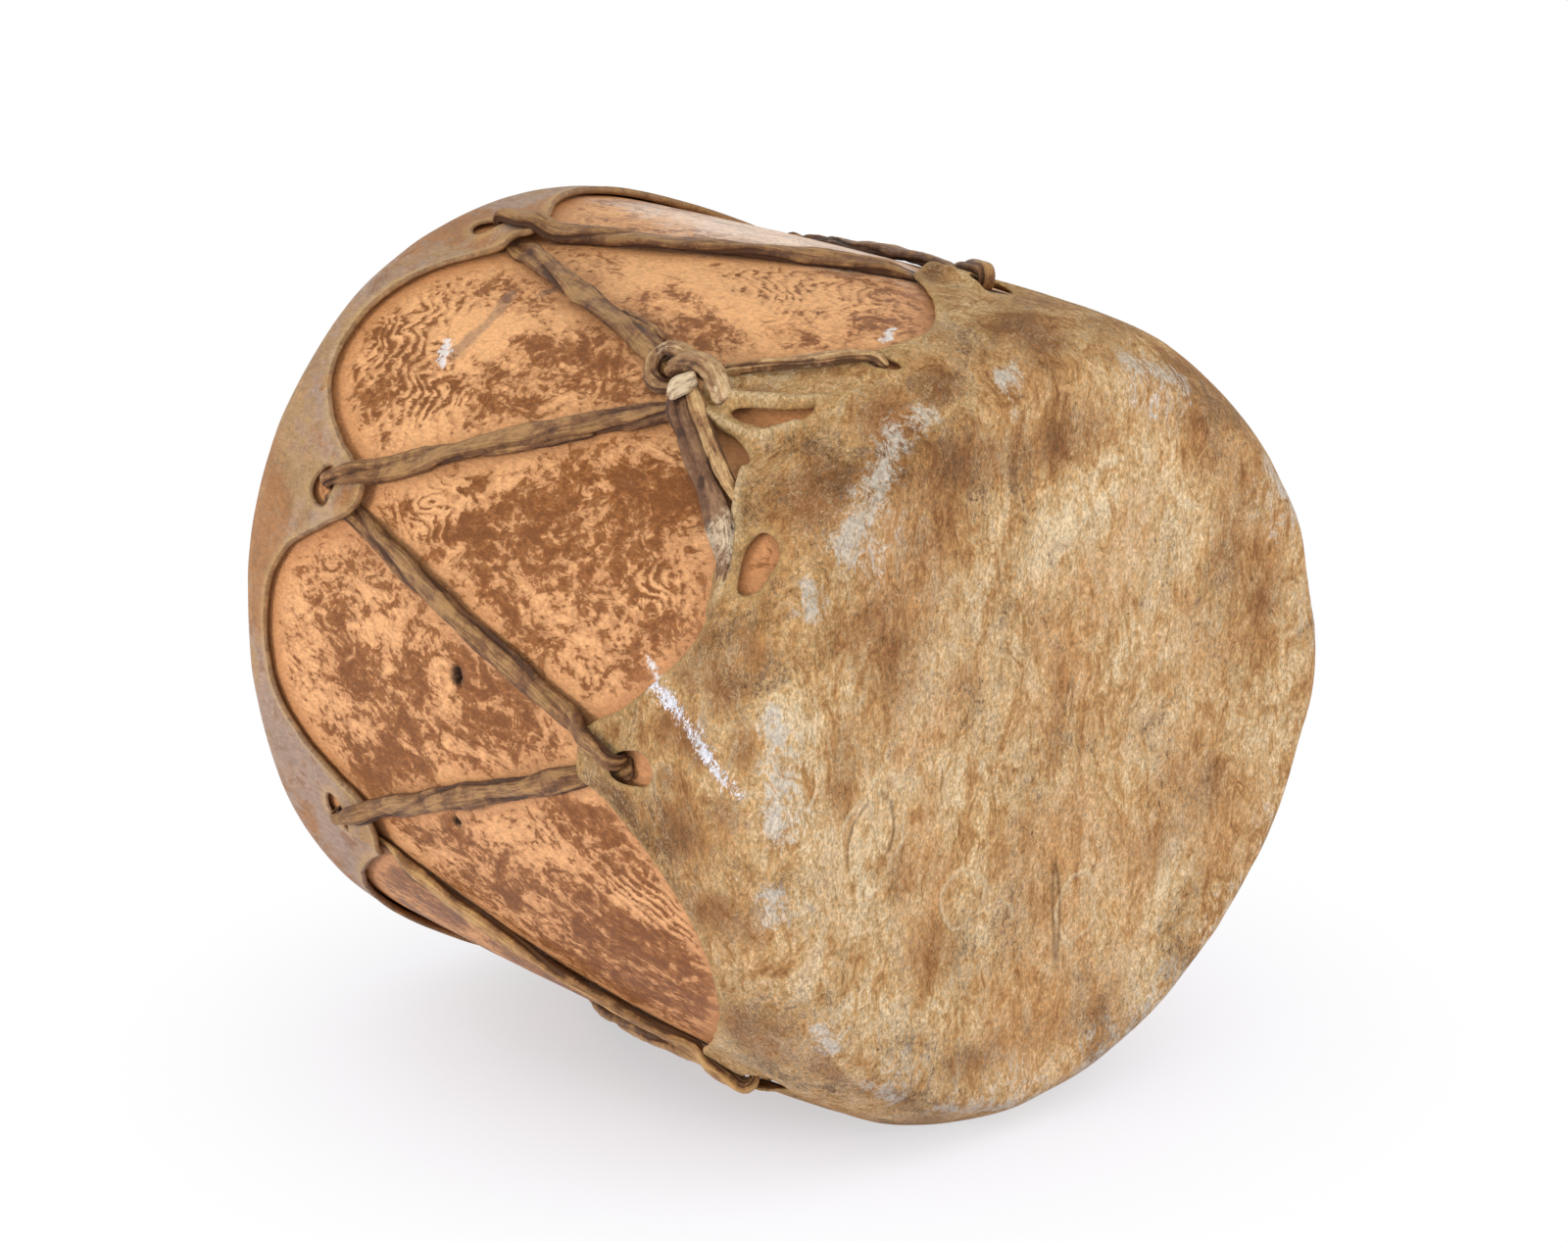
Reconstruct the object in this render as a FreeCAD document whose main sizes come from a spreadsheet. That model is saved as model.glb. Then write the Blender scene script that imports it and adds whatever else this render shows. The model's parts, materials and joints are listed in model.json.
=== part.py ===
import FreeCAD, Part
import math
import os
from FreeCAD import Placement, Rotation, Vector

# Rawhide log drum lying on its side. Every piece is drawn about the log's axis, along X
# with the played end at +X, angles running from the top towards +Y. At the end the whole
# drum is rolled and lifted so that it rests on z = 0. All lengths are millimetres.

os.makedirs("parts", exist_ok=True)
doc = FreeCAD.newDocument("RawhideLogDrum")

# Driving sizes
sheet = doc.addObject("Spreadsheet::Sheet", "sizes")
driving_sizes = [
    ("log_length", 279.3),
    ("belly_radius", 142.5),
    ("played_taper", 3.7),
    ("far_taper", 1.9),
    ("played_shoulder_radius", 43.2),
    ("played_crest_radius", 9.5),
    ("far_shoulder_radius", 17.5),
    ("wall_thickness", 27.5),
    ("pit_mouth_radius", 3.4),
    ("pit_floor_radius", 1.6),
    ("pit_depth", 5.0),
    ("hide_thickness", 2.2),
    ("seat_gap", 0.3),
    ("played_skirt_depth", 29.0),
    ("far_skirt_depth", 22.5),
    ("flare_length", 17.0),
    ("tab_hole_setback", 23.5),
    ("tab_hole_radius", 6.4),
    ("slit_width", 5.6),
    ("slit_length", 12.0),
    ("oval_width", 11.0),
    ("oval_length", 19.0),
    ("window_width", 8.0),
    ("window_length", 27.0),
    ("lace_width", 7.5),
    ("lace_thickness", 4.2),
    ("tuck_thickness", 1.6),
    ("lace_climb", 15.0),
    ("tail_width", 4.6),
    ("tail_thickness", 3.0),
    ("broad_strand_width", 8.0),
    ("broad_strand_thickness", 2.8),
    ("narrow_strand_width", 4.6),
    ("narrow_strand_thickness", 3.2),
    ("collar_ring_radius", 7.5),
    ("collar_cord_radius", 2.2),
    ("knot_core_length", 6.4),
    ("knot_core_width", 9.0),
    ("knot_core_height", 7.6),
    ("stub_width", 6.0),
    ("stub_thickness", 2.6),
    ("overrun", 8.0),
]
for row, (alias, value) in enumerate(driving_sizes, start=1):
    sheet.set(f"A{row}", alias)
    sheet.set(f"B{row}", str(value))
    sheet.setAlias(f"B{row}", alias)
doc.recompute()


def size(alias):
    return float(sheet.get(alias))


half_log = size("log_length") / 2
belly_radius = size("belly_radius")
hide_thickness = size("hide_thickness")
seat_gap = size("seat_gap")
tuck_thickness = size("tuck_thickness")
tuck_room = tuck_thickness + 2 * seat_gap
lace_width = size("lace_width")
lace_thickness = size("lace_thickness")
overrun = size("overrun")

# The log was never quite round: an oval and a three-sided part of its radius, and the
# angles in degrees at which each stands proudest
oval_share = 0.0055
oval_angle = 3.0
three_sided_share = 0.0185
three_sided_angle = -34.2

# Points round each cross-section, and sections along each curved or straight stretch
section_points = 36
side_sections = 7
arc_sections = 3


def round_share(angle):
    oval = oval_share * math.cos(2 * math.radians(angle - oval_angle))
    lobes = three_sided_share * math.cos(3 * math.radians(angle - three_sided_angle))
    return 1 + oval + lobes


def smooth(value):
    held = min(max(value, 0), 1)
    return held * held * (3 - 2 * held)


# Each end's shape, with distances measured from the middle of the log towards that end
class End:
    def __init__(self, sign, side_radius, shoulder_radius, crest_radius, skirt_depth):
        self.sign = sign
        self.side_radius = side_radius
        self.shoulder_radius = shoulder_radius
        self.crest_radius = crest_radius
        self.turn = math.pi / 4 if crest_radius < shoulder_radius else math.pi / 2
        rise = (shoulder_radius - crest_radius) * math.sin(self.turn)
        self.shoulder_start = half_log - crest_radius - rise
        self.valley = half_log - skirt_depth
        self.flare_start = min(self.valley, self.shoulder_start)

    # Radius of the bare wood at one distance from the middle
    def wood_radius(self, distance):
        if distance > self.shoulder_start:
            beyond = min(distance - self.shoulder_start, self.shoulder_radius * math.sin(self.turn))
            drop = self.shoulder_radius - math.sqrt(self.shoulder_radius**2 - beyond**2)
            return self.side_radius - drop
        return belly_radius - (belly_radius - self.side_radius) * (distance / self.shoulder_start)**2

    # How far the skirt's tabs are lifted to make room for the thongs tucked beneath them
    def flare(self, distance):
        return tuck_room * smooth((self.flare_start - distance) / size("flare_length"))

    # Stations of the outline raised by an offset, from one distance over the shoulder
    def outline(self, start, offset, flared):
        stations = []
        for step in range(side_sections):
            distance = start + (self.shoulder_start - start) * step / side_sections
            lift = self.flare(distance) if flared else 0
            stations.append((distance, self.wood_radius(distance) + offset + lift))
        centre_radius = self.side_radius - self.shoulder_radius
        for step in range(arc_sections + 1):
            bend = self.turn * step / arc_sections
            reach = self.shoulder_radius + offset
            stations.append((self.shoulder_start + reach * math.sin(bend), centre_radius + reach * math.cos(bend)))
        if self.turn < math.pi / 2:
            slide = (self.shoulder_radius - self.crest_radius) * math.sin(self.turn)
            for step in range(1, arc_sections + 1):
                bend = self.turn + (math.pi / 2 - self.turn) * step / arc_sections
                reach = self.crest_radius + offset
                across = self.shoulder_start + slide + reach * math.sin(bend)
                stations.append((across, centre_radius + slide + reach * math.cos(bend)))
        return stations


played_end = End(1, belly_radius - size("played_taper"), size("played_shoulder_radius"),
                 size("played_crest_radius"), size("played_skirt_depth"))
far_end = End(-1, belly_radius - size("far_taper"), size("far_shoulder_radius"),
              size("far_shoulder_radius"), size("far_skirt_depth"))


def end_at(along):
    return played_end if along > 0 else far_end


# A point at one place along the axis, one angle and one height above the bare wood
def surface_point(along, angle, height):
    radius = (end_at(along).wood_radius(abs(along)) + height) * round_share(angle)
    turn = math.radians(angle)
    return Vector(along, radius * math.sin(turn), radius * math.cos(turn))


def outward(angle):
    turn = math.radians(angle)
    return Vector(0, math.sin(turn), math.cos(turn))


# One closed cross-section of the log's own shape
def cross_section(along, radius):
    points = []
    for step in range(section_points):
        angle = 360 * step / section_points
        local = radius * round_share(angle)
        turn = math.radians(angle)
        points.append(Vector(along, local * math.sin(turn), local * math.cos(turn)))
    curve = Part.BSplineCurve()
    knots = [step / section_points for step in range(section_points + 1)]
    curve.interpolate(points, PeriodicFlag=True, Parameters=knots)
    return Part.Wire([curve.toShape()])


def lofted(name, stations):
    feature = doc.addObject("Part::Feature", name)
    feature.Shape = Part.makeLoft([cross_section(*station) for station in stations], True, False)
    return feature


def subtract(name, base, tool):
    cut = doc.addObject("Part::Cut", name)
    cut.Base = base
    cut.Tool = tool
    return cut


def join(name, pieces):
    fuse = doc.addObject("Part::MultiFuse", name)
    fuse.Shapes = pieces
    return fuse


# A turned or bored primitive whose sizes follow the sheet
def primitive(kind, name, bindings, placement):
    item = doc.addObject(kind, name)
    for setting, expression in bindings.items():
        item.setExpression(setting, expression)
    item.Placement = placement
    return item


# Placement on the surface with Z outward and X along the log, turned about Z
def seated(along, angle, height, turn=0):
    base = surface_point(along, angle, height)
    lean = Rotation(Vector(0, 0, 1), outward(angle))
    level = lean.multVec(Vector(1, 0, 0))
    spin = math.degrees(level.getAngle(Vector(1, 0, 0)))
    if level.cross(Vector(1, 0, 0)).dot(outward(angle)) < 0:
        spin = -spin
    return Placement(base, Rotation(outward(angle), spin + turn).multiply(lean))


# The hollowed log
far_outline = [(-along, radius) for along, radius in far_end.outline(0, 0, False)]
played_outline = played_end.outline(0, 0, False)
log_outside = lofted("log_outside", far_outline[::-1] + played_outline[1:])
along_x = Rotation(Vector(0, 1, 0), 90)
bore = primitive("Part::Cylinder", "log_bore",
                 {"Radius": "sizes.belly_radius - sizes.wall_thickness",
                  "Height": "sizes.log_length + 2 * sizes.overrun"},
                 Placement(Vector(-half_log - overrun, 0, 0), along_x))
# Small dead-knot pits, as shares of half the log's length and angles in degrees
pit_places = [(-0.054, -83.6), (-0.114, -107.1), (0.28, 71.0)]
log_cuts = [bore]
for number, (along_share, angle) in enumerate(pit_places, start=1):
    pit = primitive("Part::Cone", f"pit_{number}",
                    {"Radius1": "sizes.pit_floor_radius", "Radius2": "sizes.pit_mouth_radius",
                     "Height": "2 * sizes.pit_depth"},
                    seated(along_share * half_log, angle, -size("pit_depth")))
    log_cuts.append(pit)
log_shell = subtract("log_shell", log_outside, join("log_hollows", log_cuts))


# One pointed tab of a head's skirt. Angles are in degrees, reach is the distance from the
# log's middle as a share of half its length. Each side has the half width of the blunt
# tip and the power of the curve that leads from it into the bay beside it.
class Tab:
    def __init__(self, angle, reach_share, half_angles, powers, laced=True):
        self.angle = angle
        self.reach = reach_share * half_log
        self.low = angle - half_angles[0]
        self.high = angle + half_angles[1]
        self.low_power = powers[0]
        self.high_power = powers[1]
        self.laced = laced


# Tabs in the order in which the thong meets them, backwards round the log from the top
played_tabs = [
    Tab(8.0, 0.42, (6.0, 5.0), (1.3, 2.2)),
    Tab(-34.6, 0.44, (3.0, 3.2), (2.9, 2.1), laced=False),
    Tab(-86.6, 0.45, (3.4, 3.0), (1.8, 1.9)),
    Tab(-142.0, 0.51, (3.6, 3.6), (2.0, 1.8)),
    Tab(-198.0, 0.47, (3.2, 3.2), (2.2, 2.2)),
    Tab(-248.0, 0.48, (3.2, 3.2), (2.2, 2.2)),
    Tab(-298.0, 0.45, (3.2, 3.2), (2.2, 2.2)),
]
far_tabs = [
    Tab(-18.0, 0.575, (3.0, 3.0), (2.3, 2.3)),
    Tab(-64.6, 0.49, (2.6, 2.6), (2.8, 2.4)),
    Tab(-114.6, 0.48, (4.0, 4.0), (2.2, 2.6)),
    Tab(-172.0, 0.50, (3.2, 3.2), (2.4, 2.2)),
    Tab(-223.0, 0.48, (3.2, 3.2), (2.4, 2.4)),
    Tab(-271.0, 0.50, (3.2, 3.2), (2.4, 2.4)),
    Tab(-323.0, 0.54, (3.2, 3.2), (2.4, 2.4)),
]

# Points on each curved half of a bay, how far a bay's cutter runs past the middle of a
# tab in degrees, and its inner start and depth as shares of the belly radius
bay_points = 6
bay_lap_angle = 2.4
cutter_start_share = 0.7
cutter_depth_share = 0.5


# The cutter of the bay between two neighbouring tabs, drawn on a plane square to the
# bay's middle and pushed through the skirt
def bay_cutter(end, upper, lower):
    middle = (upper.low + lower.high) / 2
    skirt_radius = end.side_radius + hide_thickness
    opening = min(upper.reach, lower.reach) - 2 * overrun

    def flat(distance, angle):
        return Vector(end.sign * distance, skirt_radius * math.sin(math.radians(angle - middle)), 0)

    curve = []
    for step in range(bay_points, 0, -1):
        portion = step / bay_points
        distance = end.valley - (end.valley - lower.reach) * portion**lower.high_power
        curve.append(flat(distance, middle + (lower.high - middle) * portion))
    curve.append(flat(end.valley, middle))
    for step in range(1, bay_points + 1):
        portion = step / bay_points
        distance = end.valley - (end.valley - upper.reach) * portion**upper.low_power
        curve.append(flat(distance, middle + (upper.low - middle) * portion))
    rim = Part.BSplineCurve()
    rim.interpolate(curve)
    corners = [
        curve[-1],
        flat(upper.reach, upper.angle + bay_lap_angle),
        flat(opening, upper.angle + bay_lap_angle),
        flat(opening, lower.angle - bay_lap_angle),
        flat(lower.reach, lower.angle - bay_lap_angle),
        curve[0],
    ]
    edges = [rim.toShape()]
    for first, second in zip(corners, corners[1:]):
        edges.append(Part.makeLine(first, second))
    face = Part.Face(Part.Wire(edges))
    prism = face.extrude(Vector(0, 0, cutter_depth_share * belly_radius))
    prism.translate(Vector(0, 0, cutter_start_share * belly_radius))
    turn = Placement(Vector(0, 0, 0), Rotation(Vector(1, 0, 0), -middle))
    prism.Placement = turn.multiply(prism.Placement)
    return prism


def hole_distance(tab):
    return tab.reach + size("tab_hole_setback")


# A straight-sided cutter with round ends, for slits and ovals in the hide
def slot_cutter(name, length, width, placement):
    half_run = (length - width) / 2
    half_width = width / 2
    first = Vector(-half_run, half_width, 0)
    second = Vector(half_run, half_width, 0)
    third = Vector(half_run, -half_width, 0)
    fourth = Vector(-half_run, -half_width, 0)
    right = Part.Arc(second, Vector(half_run + half_width, 0, 0), third).toShape()
    left = Part.Arc(fourth, Vector(-half_run - half_width, 0, 0), first).toShape()
    edges = [Part.makeLine(first, second), right, Part.makeLine(third, fourth), left]
    feature = doc.addObject("Part::Feature", name)
    feature.Shape = Part.Face(Part.Wire(edges)).extrude(Vector(0, 0, 2 * overrun))
    feature.Placement = placement
    return feature


# A rawhide head: a cup that fits over the log's end, with bays cut between its tabs
def head(name, end, tabs, extra_cuts):
    open_distance = min(tab.reach for tab in tabs) - overrun
    inner_open = open_distance - overrun
    inside = end.outline(inner_open, seat_gap, True)
    outside = end.outline(open_distance, seat_gap + hide_thickness, True)
    cup_outside = lofted(f"{name}_outside", [(end.sign * along, radius) for along, radius in outside])
    cup_inside = lofted(f"{name}_inside", [(end.sign * along, radius) for along, radius in inside])
    cuts = []
    for number, upper in enumerate(tabs):
        lower = tabs[(number + 1) % len(tabs)]
        if number == len(tabs) - 1:
            lower = Tab(lower.angle - 360, lower.reach / half_log, (0, 0), (lower.low_power, lower.high_power))
            lower.high = tabs[0].high - 360
        bay = doc.addObject("Part::Feature", f"{name}_bay_{number + 1}")
        bay.Shape = bay_cutter(end, upper, lower)
        cuts.append(bay)
    for number, tab in enumerate(tabs, start=1):
        if tab.laced:
            hole = primitive("Part::Cylinder", f"{name}_hole_{number}",
                             {"Radius": "sizes.tab_hole_radius", "Height": "2 * sizes.overrun"},
                             seated(end.sign * hole_distance(tab), tab.angle, -overrun))
            cuts.append(hole)
    cup = subtract(f"{name}_cup", cup_outside, cup_inside)
    return subtract(name, cup, join(f"{name}_cuts", cuts + extra_cuts))


# Extra openings in the played skirt beside the knot: a slit that takes one strand, an
# oval round which another is wrapped, and a long window in the knotted tab. Places are
# shares of half the log's length and angles in degrees, with the slot's turn in degrees.
slit_place = (0.81, -21.8)
oval_place = (0.83, -55.8)
window_place = (0.65, -35.9)
slot_turns = (0, 74, 16)
slit = slot_cutter("strand_slit", size("slit_length"), size("slit_width"),
                   seated(slit_place[0] * half_log, slit_place[1], -overrun, slot_turns[0]))
oval = slot_cutter("strand_oval", size("oval_length"), size("oval_width"),
                   seated(oval_place[0] * half_log, oval_place[1], -overrun, slot_turns[1]))
window = slot_cutter("tab_window", size("window_length"), size("window_width"),
                     seated(window_place[0] * half_log, window_place[1], -overrun, slot_turns[2]))
played_head = head("played_head", played_end, played_tabs, [slit, oval, window])
far_head = head("far_head", far_end, far_tabs, [])

# Heights of a strap's underside above the wood
on_wood = seat_gap
over_tuck = on_wood + tuck_room
over_tab = over_tuck + hide_thickness + seat_gap
over_hide = over_tab + seat_gap
over_lace = seat_gap + lace_thickness + seat_gap

# Share of a strap's thickness at which its rounded back begins
strap_side_share = 0.5


# A rawhide strap with a flat underside and a rounded back, lofted along a path of
# stations: place along the log, angle, height, width and thickness
def strap(name, stations):
    points = [surface_point(along, angle, height) for along, angle, height, _, _ in stations]
    wires = []
    for number, (along, angle, height, width, thickness) in enumerate(stations):
        before = points[max(number - 1, 0)]
        after = points[min(number + 1, len(points) - 1)]
        across = (after - before).cross(outward(angle)).normalize()
        lift = across.cross(after - before).normalize()
        foot = across * (width / 2)
        side = lift * (thickness * strap_side_share)
        corners = [points[number] - foot, points[number] + foot]
        upper = [corners[1] + side, corners[0] + side]
        back = Part.Arc(upper[0], points[number] + lift * thickness, upper[1]).toShape()
        wires.append(Part.Wire([
            Part.makeLine(corners[0], corners[1]),
            Part.makeLine(corners[1], upper[0]),
            back,
            Part.makeLine(upper[1], corners[0]),
        ]))
    feature = doc.addObject("Part::Feature", name)
    feature.Shape = Part.makeLoft(wires, True, False)
    return feature


# One end of a lacing run: where it is held, and whether it passes a laced tab there
class Hold:
    def __init__(self, along, angle, tabbed):
        self.along = along
        self.angle = angle
        self.tabbed = tabbed


def hold_at(end, tab):
    return Hold(end.sign * hole_distance(tab), tab.angle, True)


# Where the two runs at the knotted tab end, as shares of half the log and degrees
knot_share = 0.335
knot_angle = -34.3
restart_share = 0.42
restart_angle = -39.6
knot_hold = Hold(knot_share * half_log, knot_angle, False)
restart_hold = Hold(restart_share * half_log, restart_angle, False)

# How far from its hole a run stays clear of the tab, how far it runs past the hole's
# middle, and the spacing of its stations
tab_clear = size("tab_hole_setback") + lace_width
hole_lap_share = 0.2
hole_dip_share = 0.7
station_share = 0.8
hole_lap = hole_lap_share * lace_width
hole_dip = hole_dip_share * size("tab_hole_radius")
station_spacing = station_share * lace_width


# Height and thickness of a run at one distance from its start and one from its finish
def run_profile(start, finish, from_start, to_finish):
    height = on_wood
    thickness = lace_thickness
    if start.tabbed:
        swell = smooth((from_start - tab_clear) / size("lace_climb"))
        thickness = tuck_thickness + (lace_thickness - tuck_thickness) * swell
    if finish.tabbed:
        climb = smooth((tab_clear + size("lace_climb") - to_finish) / size("lace_climb"))
        dip = smooth((hole_dip - to_finish) / hole_dip)
        height = on_wood + (over_tab - on_wood) * climb - (over_tab - over_tuck) * dip
    return height, thickness


# One lacing run's route, straight across the unrolled log but for a sideways bow in degrees
class Route:
    def __init__(self, start, finish, bow):
        self.start = start
        self.finish = finish
        self.bow = bow
        self.rise = finish.along - start.along
        self.turn = finish.angle - start.angle
        self.length = math.hypot(self.rise, belly_radius * math.radians(self.turn))

    def place(self, portion):
        bowed = self.bow * 4 * portion * (1 - portion)
        return self.start.along + self.rise * portion, self.start.angle + self.turn * portion + bowed


# A run of the thong from beneath one tab to over the next
def lacing_run(name, route):
    lead_in = hole_lap if route.start.tabbed else 0
    lead_out = hole_lap if route.finish.tabbed else 0
    travel = route.length + lead_in + lead_out
    count = round(travel / station_spacing)
    stations = []
    for step in range(count + 1):
        gone = travel * step / count - lead_in
        along, angle = route.place(gone / route.length)
        height, thickness = run_profile(route.start, route.finish, gone, route.length - gone)
        stations.append((along, angle, height, lace_width, thickness))
    return strap(name, stations)


# The thong zigzags from tab to tab, backwards round the log. Each stop has the hold where
# a run arrives and the hold where the next one leaves.
stops = []
for played_tab, far_tab in zip(played_tabs, far_tabs):
    if played_tab.laced:
        stops.append((hold_at(played_end, played_tab), hold_at(played_end, played_tab)))
    else:
        stops.append((knot_hold, restart_hold))
    stops.append((hold_at(far_end, far_tab), hold_at(far_end, far_tab)))
first_arrival = stops[0][0]
stops.append((Hold(first_arrival.along, first_arrival.angle - 360, first_arrival.tabbed), None))
run_bows = [-3.5, 0, 0, 0, 0, -1.0] + [0] * 8
routes = []
runs = []
for number, bow in enumerate(run_bows):
    route = Route(stops[number][1], stops[number + 1][0], bow)
    routes.append(route)
    runs.append(lacing_run(f"lacing_run_{number + 1:02d}", route))

# Thongs are joined by slit splices, whose spare ends lie beside a run: the run's number,
# the portions of it between which the end lies, and the side
tail_places = [(2, (0.60, 0.87), -1), (3, (0.36, 0.68), 1), (14, (0.30, 0.72), 1)]
tail_end_share = 0.5
tail_taper = 2 * lace_width


def splice_tail(name, route, portions, side):
    clear = (lace_width + size("tail_width")) / 2 + seat_gap
    skew = abs(route.rise) / route.length
    aside = side * math.degrees(clear / (belly_radius * skew))
    travel = route.length * (portions[1] - portions[0])
    count = round(travel / station_spacing)
    stations = []
    for step in range(count + 1):
        along, angle = route.place(portions[0] + (portions[1] - portions[0]) * step / count)
        from_end = travel * min(step, count - step) / count
        fullness = tail_end_share + (1 - tail_end_share) * smooth(from_end / tail_taper)
        width = size("tail_width") * fullness
        stations.append((along, angle + aside, on_wood, width, size("tail_thickness") * fullness))
    return strap(name, stations)


tails = []
for number, (run_number, portions, side) in enumerate(tail_places, start=1):
    tails.append(splice_tail(f"splice_tail_{number}", routes[run_number - 1], portions, side))

# Straps beside the knot, each a list of places as shares of half the log, angles in
# degrees and heights
over_strand = over_lace + size("broad_strand_thickness") + 2 * seat_gap
broad_path = [(0.385, -37.1, over_lace), (0.45, -40.2, over_lace), (0.56, -45.2, on_wood),
              (0.66, -49.6, on_wood), (0.73, -52.3, over_hide), (0.785, -54.2, over_hide),
              (0.835, -56.0, on_wood)]
narrow_path = [(0.392, -32.6, over_lace), (0.45, -35.2, over_hide), (0.55, -39.2, over_hide),
               (0.64, -43.4, over_hide), (0.70, -46.4, over_hide)]
slit_path = [(0.375, -31.4, on_wood), (0.432, -30.2, over_hide), (0.50, -28.7, over_hide), (0.60, -26.0, over_hide),
             (0.70, -23.6, over_hide), (0.785, -22.0, over_hide), (0.815, -21.8, over_tuck)]
stub_path = [(0.370, -35.2, over_strand), (0.395, -35.8, over_strand), (0.420, -36.4, over_strand)]
strand_steps = 4


# Smooth path through hand-chosen places, level at each of them
def strand(name, path, width, thickness):
    curve = Part.BSplineCurve()
    places = [Vector(along_share * half_log, angle, 0) for along_share, angle, _ in path]
    curve.interpolate(places, Parameters=[float(number) for number in range(len(path))])
    heights = [height for _, _, height in path]
    stations = []
    for step in range(strand_steps * (len(path) - 1) + 1):
        spot = curve.value(step / strand_steps)
        number = min(step // strand_steps, len(path) - 2)
        portion = step / strand_steps - number
        height = heights[number] + (heights[number + 1] - heights[number]) * smooth(portion)
        stations.append((spot.x, spot.y, height, width, thickness))
    return strap(name, stations)


broad_strand = strand("broad_knot_strand", broad_path, size("broad_strand_width"), size("broad_strand_thickness"))
narrow_strand = strand("narrow_knot_strand", narrow_path, size("narrow_strand_width"), size("narrow_strand_thickness"))
slit_strand = strand("slit_knot_strand", slit_path, size("narrow_strand_width"), size("narrow_strand_thickness"))
cut_stub = strand("cut_stub", stub_path, size("stub_width"), size("stub_thickness"))

# The knot itself: a loop thrown over the arriving run, and the lump where its strands part
collar_share = 0.30
collar_turn = -15
core_share = 0.362
knot_turn = Placement(Vector(0, 0, 0), Rotation(Vector(1, 1, 1), 120))
knot_loop = primitive("Part::Torus", "knot_loop",
                      {"Radius1": "sizes.collar_ring_radius", "Radius2": "sizes.collar_cord_radius"},
                      seated(collar_share * half_log, knot_angle, on_wood, collar_turn).multiply(knot_turn))
knot_loop.Angle3 = 180
knot_core = primitive("Part::Ellipsoid", "knot_core",
                      {"Radius1": "sizes.knot_core_height / 2", "Radius2": "sizes.knot_core_length / 2",
                       "Radius3": "sizes.knot_core_width / 2"},
                      seated(core_share * half_log, knot_angle, on_wood + size("knot_core_height") / 2))

nodes = [log_shell, played_head, far_head] + runs + tails
nodes += [knot_loop, knot_core, cut_stub, broad_strand, narrow_strand, slit_strand]
doc.recompute()

# Resting pose: the drum lies on two lacing runs and the played shoulder, so its axis dips
# a little towards the played end. It is rolled and tilted, then centred on z = 0.
rest_roll_angle = 0.7
rest_tilt_angle = 2.64
roll = Rotation(Vector(1, 0, 0), rest_roll_angle)
tilt = Rotation(Vector(0, 1, 0), rest_tilt_angle)
lean = Placement(Vector(0, 0, 0), tilt.multiply(roll))
for item in nodes:
    item.Placement = lean.multiply(item.Placement)
doc.recompute()
whole = FreeCAD.BoundBox()
for item in nodes:
    whole.add(item.Shape.optimalBoundingBox(False, False))
settle = Placement(Vector(-whole.Center.x, -whole.Center.y, -whole.ZMin), Rotation())
for item in nodes:
    item.Placement = settle.multiply(item.Placement)
doc.recompute()

# Nothing is written unless every piece is sound
for item in doc.Objects:
    if "Invalid" in item.State or "Error" in item.State:
        raise RuntimeError(f"{item.Name} did not build")
for item in nodes:
    item.Label = item.Name
    shape = item.Shape
    if shape.isNull() or not shape.isValid() or not shape.Solids:
        raise RuntimeError(f"{item.Name} has no sound solid")
    print(item.Name, len(shape.Solids), round(shape.Volume, 1))
for item in nodes:
    item.Shape.exportStep(f"parts/{item.Name}.step")
print("box", [round(value, 2) for value in (whole.XLength, whole.YLength, whole.ZLength)])
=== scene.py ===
import itertools
import json
import math
from collections import namedtuple

import bmesh
import bpy
import numpy as np
from mathutils import Matrix, Vector


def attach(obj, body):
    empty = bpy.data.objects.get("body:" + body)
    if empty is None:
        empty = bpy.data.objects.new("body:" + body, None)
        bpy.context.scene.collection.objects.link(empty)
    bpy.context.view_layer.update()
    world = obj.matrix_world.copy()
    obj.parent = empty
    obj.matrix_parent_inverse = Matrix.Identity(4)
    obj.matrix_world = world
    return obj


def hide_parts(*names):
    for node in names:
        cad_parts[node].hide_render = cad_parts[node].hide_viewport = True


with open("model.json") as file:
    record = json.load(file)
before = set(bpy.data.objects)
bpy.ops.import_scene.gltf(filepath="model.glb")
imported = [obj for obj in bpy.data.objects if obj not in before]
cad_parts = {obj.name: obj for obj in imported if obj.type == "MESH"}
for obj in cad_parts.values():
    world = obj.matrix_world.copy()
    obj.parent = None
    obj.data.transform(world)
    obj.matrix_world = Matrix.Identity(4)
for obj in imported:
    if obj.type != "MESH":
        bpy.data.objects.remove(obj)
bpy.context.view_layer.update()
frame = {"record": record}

# The drum's own frame: X along the log towards the played head, angles in degrees from the
# top towards +Y, lengths in millimetres. It lies rolled and dipped in the shared frame.
lying = {"roll": 0.7, "dip": 2.64, "millimetre": 0.001}
faces = {mount["name"]: Vector(mount["pos_m"]) for mount in frame["record"]["mounts"]}
drumMiddle = (faces["played_face"] + faces["far_face"]) / 2
drumTurn = Matrix.Rotation(math.radians(lying["dip"]), 3,
                           "Y") @ Matrix.Rotation(math.radians(lying["roll"]), 3, "X")


def toFrame(points):   # millimetres about the log's axis to metres in the shared frame
    return points @ np.array(drumTurn).T * lying["millimetre"] + np.array(drumMiddle)


# CAMERA

view = {
    "place": (1042.72, -927.97, 466.74),
    "right": (0.66595, 0.74599, 0.0),
    "up": (-0.2336, 0.2086, 0.9497),
    "forward": (-0.70847, 0.63245, -0.31318),
    "lens": 94.5,
    "sensor": 36.0,
}


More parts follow.
